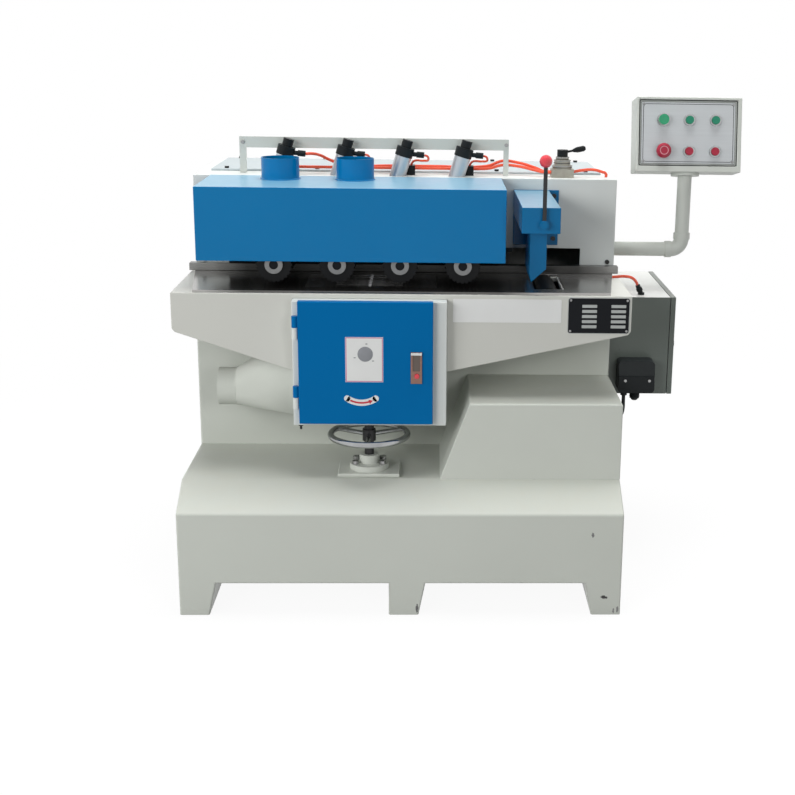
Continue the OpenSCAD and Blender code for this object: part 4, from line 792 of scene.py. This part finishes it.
# %% [markdown]
# ## Motor cover and dust chute
# The motor cover is folded from one sheet with crisp bends along its top, while its solid has wider ones. A bend
# of its own could be modelled again, but it is enough to draw the points of the wide bend in towards its corner.
# The dust chute is welded from flat and rounded panels that meet at shallow angles, so more of its edges stay
# crisp.

# %% Motor cover and dust chute
WIDE_BEND, CRISP_BEND = 22.01, 6
COVER_TOP, COVER_FRONT, COVER_RIGHT, COVER_LEFT, LEFT_BEND_END = 525, 103, 554, 169.2, 184.6


def tighter_folds(c):
    """Draws the bends along the top of the motor cover in towards its corners, so that they become crisp folds."""
    drop, share = COVER_TOP - c.z, CRISP_BEND / WIDE_BEND
    front, right, left = c.y - COVER_FRONT <= WIDE_BEND, COVER_RIGHT - c.x <= WIDE_BEND, c.x <= LEFT_BEND_END
    if drop > WIDE_BEND or not (front or right or left):
        return c
    x, y = c.x, c.y
    if right:
        x = COVER_RIGHT - (COVER_RIGHT - x) * share
    elif left:
        x = COVER_LEFT + (x - COVER_LEFT) * share
    if front:
        y = COVER_FRONT + (y - COVER_FRONT) * share
    return Vector((x, y, COVER_TOP - drop * share))


dressed("motor_cover", 0.003, reshaped=tighter_folds)
dressed("dust_chute", sharp=12)
print("bends drawn in from", round(WIDE_BEND), "to", CRISP_BEND, "mm")

# %% [markdown]
# ## Small helpers for plates and turned parts
# Plates, seals and labels are thin rounded sheets. A sheet starts as a cube, is stretched to size, and its four
# short edges are bevelled into corners; an inset of its front face gives a border. Screws, rings and weld beads
# are turned shapes, so a few points of their profile are spun about an axis. Ready-made cylinders would be
# quicker, but they have no domed heads, no lips and no rounded shoulders.


# %% Thin sheets
def sheet_shape(x0, x1, z0, z1, y, thick, corner, place=at, borders=(), sink=0.0):
    """A thin upright sheet facing the operator. Borders are widths in mm; what is inside the first border gets
    material 1, inside the second material 2, and so on. The innermost face is sunk by the last value."""
    shape = bmesh.new()
    bmesh.ops.create_cube(shape, size=1.0)
    for v in shape.verts:
        v.co = Vector((x0 + (v.co.x + 0.5) * (x1 - x0), y - thick * (0.5 - v.co.y),
                       z0 + (v.co.z + 0.5) * (z1 - z0)))
    short = [e for e in shape.edges if abs(e.verts[0].co.y - e.verts[1].co.y) > thick * 0.5]
    if corner:
        bmesh.ops.bevel(shape, geom=short, offset=corner, offset_type="OFFSET", segments=6, profile=0.5,
                        affect="EDGES", material=-1)
    front = min(shape.faces, key=lambda f: f.calc_center_median().y)
    for k, width in enumerate(borders):
        bmesh.ops.inset_region(shape, faces=[front], thickness=width, use_even_offset=True)
        front.material_index = k + 1
    for v in front.verts:
        v.co.y += sink
    for v in shape.verts:
        v.co = place(*v.co)
    bmesh.ops.recalc_face_normals(shape, faces=shape.faces)
    return shape


# %% Turned shapes
def spun(profile, place, turns=24):
    """Spins a profile of (radius, height) points in mm about an axis that place() puts on the machine."""
    shape = bmesh.new()
    points = [shape.verts.new((r, 0, h)) for r, h in profile]
    line = [shape.edges.new(pair) for pair in zip(points, points[1:])]
    bmesh.ops.spin(shape, geom=points + line, cent=(0, 0, 0), axis=(0, 0, 1), angle=math.tau, steps=turns,
                   use_merge=True)
    bmesh.ops.remove_doubles(shape, verts=shape.verts, dist=1e-4)
    for v in shape.verts:
        v.co = place(*v.co)
    bmesh.ops.recalc_face_normals(shape, faces=shape.faces)
    return shape


def facing_out(cx, cy, cz, place=at):
    """A placing for spun shapes whose height points towards the operator."""
    return lambda x, y, z: place(cx + x, cy - z, cz + y)


def facing_up(cx, cy, cz):
    """A placing for spun shapes whose height points up."""
    return lambda x, y, z: at(cx + x, cy + y, cz + z)


# %% Screw heads and joined shapes
def screw_profile(r, h):
    """A domed head with a socket in its middle."""
    return [(0, h * 0.45), (r * 0.38, h * 0.45), (r * 0.45, h), (r * 0.75, h * 0.85), (r, h * 0.35), (r, -0.3)]


def joined(shapes):
    """Several bmeshes as one."""
    whole = bmesh.new()
    for shape in shapes:
        part = bpy.data.meshes.new("part")
        shape.to_mesh(part)
        shape.free()
        whole.from_mesh(part)
        bpy.data.meshes.remove(part)
    return whole


# %% [markdown]
# ## Finishes for the small pieces
# Stickers are printed film, seals are soft rubber, screws and rings are plated steel. They could share the
# finishes of the large parts, but at their size a slightly different tone is what sets them off from what they
# sit on. So they use the same three recipes with their own tones, and the stickers have hardly any grain.

# %% Finishes for plates, labels and seals
FILM = dict(gloss=0.3, grain=0.01)
sticker_white = moulded("sticker_white", (0.72, 0.73, 0.72), tone=0.95, **FILM)
sticker_pink = moulded("sticker_pink", (0.5, 0.07, 0.24), **FILM)
sticker_grey = moulded("sticker_grey", (0.25, 0.26, 0.28), gloss=0.35, grain=0.01)
arrow_red = moulded("arrow_red", (0.55, 0.03, 0.05), **FILM)
ring_pink = moulded("ring_pink", (0.6, 0.3, 0.34), gloss=0.35, grain=0.01)
plate_black = moulded("plate_black", (0.008, 0.009, 0.011), gloss=0.35, grain=0.02, sheen_level=0.12)
field_pale = moulded("field_pale", (0.42, 0.44, 0.43), gloss=0.4, grain=0.02)
seal_grey = moulded("seal_grey", (0.33, 0.35, 0.33), gloss=0.5, grain=0.1)
# black rubber of the motor cable; on the panel seal, the same black is painted shade in the gap
rubber_and_gap_shade = moulded("rubber_and_gap_shade", (0.02, 0.022, 0.022), gloss=0.6, grain=0.15, scale=400.0, sheen_level=0.2)
latch_slot = moulded("latch_slot", (0.14, 0.115, 0.1), gloss=0.45, sheen_level=0.3)
cover_black = moulded("cover_black", (0.016, 0.019, 0.02), gloss=0.5, grain=0.15, sheen_level=0.3)
print("finishes so far:", len(FINISH_NAMES))

# %% Finishes for screws and rings
ring_steel = worked_metal("ring_steel", (0.5, 0.5, 0.49), (0.36, 0.36, 0.35), (60, 60, 60), gloss=0.42,
                          metallic=0.5)
roller_ring = worked_metal("roller_ring", (0.29, 0.295, 0.295), (0.21, 0.215, 0.215), (60, 60, 60), gloss=0.42,
                           metallic=0.5)
screw_steel = worked_metal("screw_steel", (0.5, 0.5, 0.5), (0.35, 0.35, 0.35), (120, 120, 120), gloss=0.3)
dark_screw = worked_metal("dark_screw", (0.05, 0.05, 0.05), (0.03, 0.03, 0.03), (120, 120, 120), gloss=0.4)
bezel_chrome = worked_metal("bezel_chrome", (0.44, 0.45, 0.45), (0.34, 0.35, 0.35), (90, 90, 90), gloss=0.2,
                            metallic=1.0, strength=0.01, marks=0.1, spread=0.1)
print("finishes so far:", len(FINISH_NAMES))

# %% [markdown]
# ## Press rollers
# The press rollers sit in the shade under the guard, so their near-black colour is painted shade. The end rings
# that face the operator are lit and keep a steel tone, round a dark shaft. Each roller is one solid. The ring could
# be a separate disc, but it would have to float on the face. A copy with zones gives the ring its own finish,
# without a cut in the mesh.


# %% Press rollers
ROLLER_FIRST, ROLLER_PITCH, ROLLER_AXIS, ROLLER_FRONT = -323, 157.5, 852, 217.2
RING, SHAFT = 22.9, 11.6


def roller_end(axis_x, radius):
    """True for points on the front end of a press roller that are closer to its axis than the radius."""
    return lambda c: c.y < ROLLER_FRONT and math.hypot(c.x - axis_x, c.z - ROLLER_AXIS) < radius


for k in range(4):
    axis_x = ROLLER_FIRST + k * ROLLER_PITCH
    dressed(f"press_roller_{k + 1}", zones=[
        (roller_ring, roller_end(axis_x, RING)), (plate_black, roller_end(axis_x, SHAFT))])
print("rollers with a clean ring: 4")

# %% [markdown]
# ## Screws, latch, wheel and lever
# The lid and the front of the casing carry dark screws, and those low on the machine are bright. The door latch
# is a worn metal frame with a dark finger slot, the connector box has a cover of its own black, the handwheel is
# chromed with a dark hub, and the kickback lever is dark steel in a blue socket. These too are single solids, so
# zones tell their parts apart. The short cable of the connector box is left out of its copy, because a smooth
# tube takes its place below.

# %% Screws, latch, wheel and lever
LID_SCREWS, CASING_FROM, CASING_TOP, LOW_SCREWS = (1051, 1075), 455, 1045, 700
SLOT_X, SLOT_HALF, SLOT_FLOOR = 35, 9.5, (96.5, 98)
COVER_LINE, CABLE_X, CABLE_Z = 518, 616, 460.5
WHEEL_X, WHEEL_Y, WHEEL_HUB = -86, 172, 17.6
SOCKET_TOP = 988


def dark_screws(c):
    """True for the screws of the lid and those on the front of the casing."""
    return LID_SCREWS[0] < c.z < LID_SCREWS[1] or c.y > CASING_FROM and c.z < CASING_TOP


def finger_slot(c):
    """True for the floor of the slot in the latch."""
    return SLOT_FLOOR[0] < c.y < SLOT_FLOOR[1] and abs(c.x - SLOT_X) < SLOT_HALF


dressed("fasteners", 0.0008, zones=[(dark_screw, dark_screws), (screw_steel, lambda c: c.z < LOW_SCREWS)],
        least=0.001)
dressed("latch_body", 0.0008, zones=[(latch_slot, finger_slot)])
dressed("connector_box", 0.003, zones=[(cover_black, lambda c: c.z > COVER_LINE)],
        dropped=lambda c: c.x < CABLE_X and c.z < CABLE_Z)
dressed("handwheel", zones=[(oiled_steel, lambda c: math.hypot(c.x - WHEEL_X, c.y - WHEEL_Y) < WHEEL_HUB)])
dressed("kickback_lever", 0.0006, zones=[(hood_paint, lambda c: c.z < SOCKET_TOP)], least=0.001)
print("zoned copies: fasteners, latch, connector box, handwheel, lever")

# %% [markdown]
# ## Pale tops
# Seen from the operator's side, the tops of the guard, the kickback housing and the cabinet are much paler than
# their fronts, because at this low angle they mirror the bright sky. That sheen is painted in, as a paler and
# glossier paint in a zone on each flat top. More of the dust effect would make patches; the zone keeps the top
# even.

# %% Pale tops
GUARD_TOP, HOOD_TOP, CABINET_TOP, TOP_BAND = 1046, 1015, 729, 0.3
PALE_BLUE = dict(gloss=0.3, wear=0.36, dust=0.06, skin=0.012, sheen_level=0.8)
# painted sheen: paler, glossier copies of the blue and of the cabinet grey stand in for the sky that the flat tops
# mirror
painted_sheen_blue = sprayed_paint("painted_sheen_blue", (0.16, 0.36, 0.5), (0.135, 0.32, 0.44), **PALE_BLUE)
painted_sheen_hood = sprayed_paint("painted_sheen_hood", (0.12, 0.285, 0.41), (0.1, 0.25, 0.36), **PALE_BLUE)
painted_sheen_cabinet = sprayed_paint("painted_sheen_cabinet", (0.65, 0.66, 0.64), (0.58, 0.59, 0.57), sheen_level=0.8)


def on_top(height):
    """True for points on a flat top at that height."""
    return lambda c: abs(c.z - height) < TOP_BAND


dressed("roller_guard", 0.0017, zones=[(painted_sheen_blue, on_top(GUARD_TOP))])
dressed("kickback_housing", 0.0017, zones=[(painted_sheen_hood, on_top(HOOD_TOP))])
dressed("cabinet", 0.0012, zones=[(painted_sheen_cabinet, on_top(CABINET_TOP))])
print("pale tops at", GUARD_TOP, HOOD_TOP, CABINET_TOP, "mm")

# %% [markdown]
# ## Air tubes and motor cable
# Red polyurethane tube of 8 mm feeds the press cylinders from the hand valve, with loops of 6 mm between
# cylinder and supply. The motor cable is a black rubber lead. A tube could be swept as a mesh, but a curve with
# a round bevel stays smooth and has one exact length. The tube is stiff enough to stand in arcs between its
# fittings, so each run is one curve through the points where the real tube passes, and its end goes back into
# the machine.


# %% A tube
def tube(name, points, radius, finish, node=None):
    """A round tube along a smooth curve that is plumbed in at both ends."""
    line = bpy.data.curves.new(name, "CURVE")
    line.dimensions = "3D"
    line.bevel_depth, line.bevel_resolution, line.resolution_u = radius / 1000, 5, 8
    line.use_fill_caps = True
    spline = line.splines.new("BEZIER")
    spline.bezier_points.add(len(points) - 1)
    for knot, point in zip(spline.bezier_points, points):
        knot.co = at(*point)
        knot.handle_left_type = knot.handle_right_type = "AUTO"
    line.materials.append(finish)
    piece = bpy.data.objects.new(name, line)
    bpy.context.scene.collection.objects.link(piece)
    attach(piece, "frame")
    if node:
        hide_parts(node)


def air_tube(name, points, radius=4, node=None):
    """A stiff red tube."""
    tube(name, points, radius, tube_red, node)


# %% Tubes and cable
LOOP_X = [-178.3, -20.8, 136.7]
air_tube("air_tube_supply_run", [
    (-315.8, 546, 1062), (-180, 546, 1062), (-20, 546, 1062), (120, 546, 1062), (196.7, 546, 1062),
    (226.7, 546, 1064), (261.7, 546, 1073), (301.7, 542, 1071), (351.7, 524, 1062), (373, 508, 1059),
    (390.6, 507, 1059)], node="air_lines")
air_tube("air_tube_return_run", [
    (-264.9, 500, 1100.7), (-250.9, 503, 1101.2), (-229, 528, 1095), (-207, 550, 1082), (-181, 559, 1071),
    (-154, 560, 1066), (-40, 560, 1066), (80, 560, 1066), (196.7, 560, 1066), (226.7, 559, 1070),
    (261.7, 556, 1083), (301.7, 550, 1080), (351.7, 538, 1067), (373, 528, 1059.4), (390.6, 527, 1059)])
for k, x in enumerate(LOOP_X):
    air_tube(f"air_tube_loop_{k + 1}", [
        (x + 70.9, 500, 1100.7), (x + 79, 501, 1098), (x + 81.5, 508, 1088), (x + 69, 520, 1084.5),
        (x + 42, 529, 1082), (x + 35, 532, 1071.4)], radius=3)
air_tube("air_tube_exhaust", [
    (451.4, 517, 1060), (473, 517, 1064), (503, 521, 1066), (530, 525, 1060), (541, 526, 1055),
    (542, 526, 1046.4)])
air_tube("air_tube_inlet", [
    (554.4, 500, 776), (574, 500, 777.5), (600, 500, 779), (621, 500, 775), (633, 500, 764), (636.7, 500, 756.3)])
tube("motor_cable", [
    (602, 433, 462), (602, 433, 442), (602, 433, 423), (599, 433, 407.7), (590.3, 433, 394.7), (577.3, 433, 386),
    (562, 433, 383), (554.6, 433, 383)], 5, rubber_and_gap_shade)

# %% [markdown]
# ## Plates on the apron
# The sloped apron carries a plain white plate and a black plate with ten pale fields and four domed pins.
# Printed fields could be a pattern in one material, but thin sheets have edges that catch the light when seen
# from the side.

# %% Plates on the apron
APRON_FACE, PLATE_FRONT, FIELD_FACE = 156.9, 155.3, 155.2
FIELD_WIDE, FIELD_TALL, FIELD_X, FIELD_Z = 37, 7.5, (448, 521), (708.5, 721.5, 734.5, 747.5, 760.5)
banner = sheet_shape(125, 396, 721, 780, APRON_FACE, 1.0, 3)
made(banner, "banner_plate", "frame", "body_paint", sticker_white)
data_plate = sheet_shape(412, 568, 694, 786, APRON_FACE, 1.6, 7, borders=(1.6,))
made(data_plate, "data_plate", "frame", "black_plastic", field_pale, plate_black)
fields = [sheet_shape(x, x + FIELD_WIDE, z, z + FIELD_TALL, FIELD_FACE, 0.4, 1) for x in FIELD_X for z in FIELD_Z]
made(joined(fields), "data_plate_fields", "frame", "body_paint", field_pale)
pins = [spun(screw_profile(3.2, 2.2), facing_out(x, PLATE_FRONT, z)) for x in (419, 561) for z in (701, 779)]
made(joined(pins), "data_plate_pins", "frame", "ground_steel", screw_steel)
print("fields on the black plate:", len(fields), "and pins:", len(pins))

# %% [markdown]
# ## Labels on the door
# The door of the saw chamber has a plain sticker with a thin line round it, a grey disc and three small marks,
# and below it a curved label whose red arrow shows which way the blades turn. The bows are spun from one short
# edge, so that both rims are true arcs, and then given the thickness of film.

# %% Sticker on the door
DOOR_FACE, ON_STICKER = 98.9, 98.4
sticker = sheet_shape(-140, -47, 580, 694, DOOR_FACE, 0.5, 0, borders=(1.0, 1.8))
made(sticker, "door_sticker", "chamber_door", "body_paint", sticker_white, sticker_pink, sticker_white)
disc = spun([(0, 0.3), (18.4, 0.3), (19, 0), (19, -0.1)], facing_out(-91, 98.3, 651), turns=48)
made(disc, "door_sticker_disc", "chamber_door", "body_paint", sticker_grey)
ticks = [sheet_shape(x - 2.5, x + 2.5, z - 1.2, z + 1.2, ON_STICKER, 0.3, 0.6)
         for x, z in ((-88, 677), (-117, 642), (-72, 634))]
made(joined(ticks), "door_sticker_ticks", "chamber_door", "body_paint", sticker_grey)
print("marks on the sticker:", len(ticks))

# %% Turning arrow
BOW_X, BOW_Z, LABEL_SPAN, ARROW_SPAN = -101, 590, (236, 304), (244, 288)
TIP = [(0, 0.4), (7.7, 0.4), (8, 0.1), (8, -0.1)]


def bow(name, y, r0, r1, span, finish, lift):
    """A flat bow of film between two radii, spun about the operator's line of sight."""
    shape = bmesh.new()
    start, end = (math.radians(angle) for angle in span)
    ends = [shape.verts.new((r * math.cos(start), 0, r * math.sin(start))) for r in (r0, r1)]
    edge = shape.edges.new(ends)
    bmesh.ops.spin(shape, geom=ends + [edge], cent=(0, 0, 0), axis=(0, -1, 0), angle=end - start, steps=16)
    bmesh.ops.solidify(shape, geom=shape.faces[:], thickness=lift)
    for v in shape.verts:
        v.co = at(BOW_X + v.co.x, y - abs(v.co.y), BOW_Z + v.co.z)
    bmesh.ops.recalc_face_normals(shape, faces=shape.faces)
    made(shape, name, "chamber_door", "body_paint", finish)


bow("turn_label", DOOR_FACE, 55, 71, LABEL_SPAN, sticker_white, 0.4)
tips = [spun(TIP, facing_out(BOW_X + 63 * math.cos(math.radians(a)), DOOR_FACE,
                             BOW_Z + 63 * math.sin(math.radians(a)))) for a in LABEL_SPAN]
made(joined(tips), "turn_label_tips", "chamber_door", "body_paint", sticker_white)
bow("turn_arrow_bow", ON_STICKER, 61, 65.5, ARROW_SPAN, arrow_red, 0.3)
head = bmesh.new()
bmesh.ops.create_circle(head, cap_ends=True, segments=3, radius=6.5)
bmesh.ops.solidify(head, geom=head.faces[:], thickness=0.3)
pointed = Matrix.Rotation(math.radians(-70), 3, "Z")
for v in head.verts:
    spot = pointed @ v.co
    v.co = at(-79 + spot.x, ON_STICKER - abs(v.co.z), 530.5 + spot.y)
bmesh.ops.recalc_face_normals(head, faces=head.faces)
made(head, "turn_arrow_head", "chamber_door", "body_paint", arrow_red)
print("arrow bends through", ARROW_SPAN[1] - ARROW_SPAN[0], "degrees")

# %% [markdown]
# ## Latch bar
# A bright bar closes the top of the latch frame on the door. It is a folded strip, so a thin sheet with rounded
# corners is all it needs.

# %% Latch bar
bar = sheet_shape(21.5, 48.5, 650, 656, 94.2, 1.6, 0.8)
made(bar, "latch_bar", "chamber_door", "chrome", sticker_white)
print("latch bar made")

# %% [markdown]
# ## Control panel
# The face plate sits in a recess behind a grey rubber seal; the thin black line along the seal's outer edge is
# painted shade in the gap round it. A thin printed line runs round the plate, four screws hold it, and each button
# stands in a bright ring. The panel leans back by ten degrees. Its pieces could be turned as objects, but a
# finished piece stays unturned, so they are laid out in the panel's own upright frame and each point is then
# leaned with it.


# %% The panel's own frame
LEAN = math.radians(10)
PANEL_X, PANEL_Z = 770, 1159
PANEL_Y = 600 - 50 * math.cos(LEAN) + 100.5 * math.sin(LEAN)
BUTTONS = [(x, z) for x in (-71.5, 0, 71.5) for z in (-45, 39)]
BEZEL = 16.5


def on_panel(x, y, z):
    """A point in the panel's own millimetres, on the machine."""
    return at(PANEL_X + x, PANEL_Y + y * math.cos(LEAN) + z * math.sin(LEAN),
              PANEL_Z - y * math.sin(LEAN) + z * math.cos(LEAN))


def panel_depth(point):
    """How far a machine point lies behind the panel's front edge."""
    return (point.y - PANEL_Y) * math.cos(LEAN) - (point.z - PANEL_Z) * math.sin(LEAN)


def near_button(point):
    """True close to the middle of a button, lamp or stop mushroom."""
    height = (point.y - PANEL_Y) * math.sin(LEAN) + (point.z - PANEL_Z) * math.cos(LEAN)
    return any(math.hypot(point.x - PANEL_X - x, height - z) < BEZEL for x, z in BUTTONS)


print("places on the panel:", len(BUTTONS))

# %% Panel and buttons
# the seal's outer 2.2 mm and its sides are black, which is painted shade in the gap round the panel; the grey band
# is the rubber
seal = sheet_shape(-136.6, 132.6, -84.1, 93.1, 5.8, 3.4, 5, place=on_panel, borders=(2.2, 3.8), sink=1.6)
made(seal, "panel_seal", "frame", "black_plastic", rubber_and_gap_shade, seal_grey, rubber_and_gap_shade)
dressed("control_panel", 0.0004, zones=[(bezel_chrome, near_button)])
dressed("power_lamp", 0.0025, zones=[(bezel_chrome, lambda c: panel_depth(c) > -4.6)], least=0.001)
for node in ("start_button_1", "start_button_2", "stop_button_1", "stop_button_2", "e_stop"):
    dressed(node, 0.0015, least=0.001)
line = sheet_shape(-126, 122, -73.5, 82.5, 2.95, 0.2, 9, place=on_panel, borders=(1.4,))
made(line, "panel_line", "frame", "panel_face", plate_black, panel_alloy)
screws = [spun(screw_profile(3.6, 2.4), facing_out(x, 2.9, z, on_panel))
          for x in (-125, 121) for z in (-72.5, 81.5)]
made(joined(screws), "panel_screws", "frame", "ground_steel", screw_steel)
grip = spun([(9.6, -0.2), (9.8, 0.5), (11.8, 0.5), (12, -0.2)], facing_out(-71.5, -26.9, -45, on_panel), 40)
made(grip, "stop_mushroom_ring", "e_stop", "red_plastic", ring_pink)
print("panel screws:", len(screws))

# %% [markdown]
# ## Valve rings, cable gland and chamber bolt
# The hand valve is a stack of clamped discs, so bright edges alternate with dark joints. The gland under the
# connector box is a ribbed nut, and a dark bolt end stands below the corner of the saw chamber. All of them are
# turned parts, so each is a profile spun about its axis; the bolt takes six steps, which make it a hexagon.

# %% Turned details
VALVE_X, VALVE_Y = 421, 517
GLAND_PLACE, BOLT_PLACE = (632, 433, 473), (-255, 130, 462)
valve_low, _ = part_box("valve_body")
valve_foot = machine_mm(Vector(valve_low)).z
BANDS = {
    "valve_bright_rings": (ring_steel, ((26.6, 29, 2.6), (22.4, 43.2, 2.4), (17.6, 51.4, 2.2))),
    "valve_dark_joints": (oiled_steel, ((26.3, 25.6, 1.4), (22.1, 37, 1.6), (17.3, 47.5, 1.4))),
}
for name, (finish, bands) in BANDS.items():
    rings = [spun([(r - 1, h), (r + 0.5, h), (r + 0.9, h + tall / 2), (r + 0.5, h + tall), (r - 1, h + tall)],
                  facing_up(VALVE_X, VALVE_Y, valve_foot), 40) for r, h, tall in bands]
    made(joined(rings), name, "frame", "ground_steel", finish)
    print(name, len(rings))
ribs = [(14.2 if k % 2 else 13.2, -2.5 - 1.5 * k) for k in range(10)]
gland = spun([(12, 0)] + ribs + [(11, -19), (9, -24), (6.5, -26), (0, -26)], facing_up(*GLAND_PLACE))
made(gland, "gland_nut", "frame", "black_plastic", black_plastic)
bolt = spun([(0, -13), (2.4, -13), (3, -12), (3, -4), (6, -4), (6, 0)], facing_up(*BOLT_PLACE), 6)
made(bolt, "chamber_bolt", "frame", "dark_steel", dark_screw)

# %% [markdown]
# ## Weld beads
# The two dust collars are pipes welded on the guard, and the round stub of the dust chute is welded to its
# flare. A low bead of weld, painted with the sheet, runs round each joint. A bump could only hint at it, so a
# closed profile of the bead is spun about the pipe.

# %% Weld beads
COLLAR_FIRST, COLLAR_PITCH, COLLAR_Y = -321, 193, 397
STUB_END, STUB_Y, STUB_Z = -435, 296, 517
BEAD = [(48.5, 3.4), (50.2, 3.1), (51.5, 2.1), (52.3, 0.5), (52.5, -0.3), (48.5, -0.3), (48.5, 3.4)]
SEAM = [(48.6, -2.4), (50, -1.7), (50.6, 0), (50, 1.7), (48.6, 2.4), (47.8, 0), (48.6, -2.4)]
beads = [spun(BEAD, facing_up(COLLAR_FIRST + k * COLLAR_PITCH, COLLAR_Y, GUARD_TOP), 48) for k in (0, 1)]
made(joined(beads), "collar_weld_beads", "frame", "blue_paint", blue_paint)
seam = spun(SEAM, lambda x, y, z: at(STUB_END - z, STUB_Y + x, STUB_Z + y), 48)
made(seam, "chute_weld_seam", "frame", "body_paint", base_paint)
print("weld beads:", len(beads) + 1)
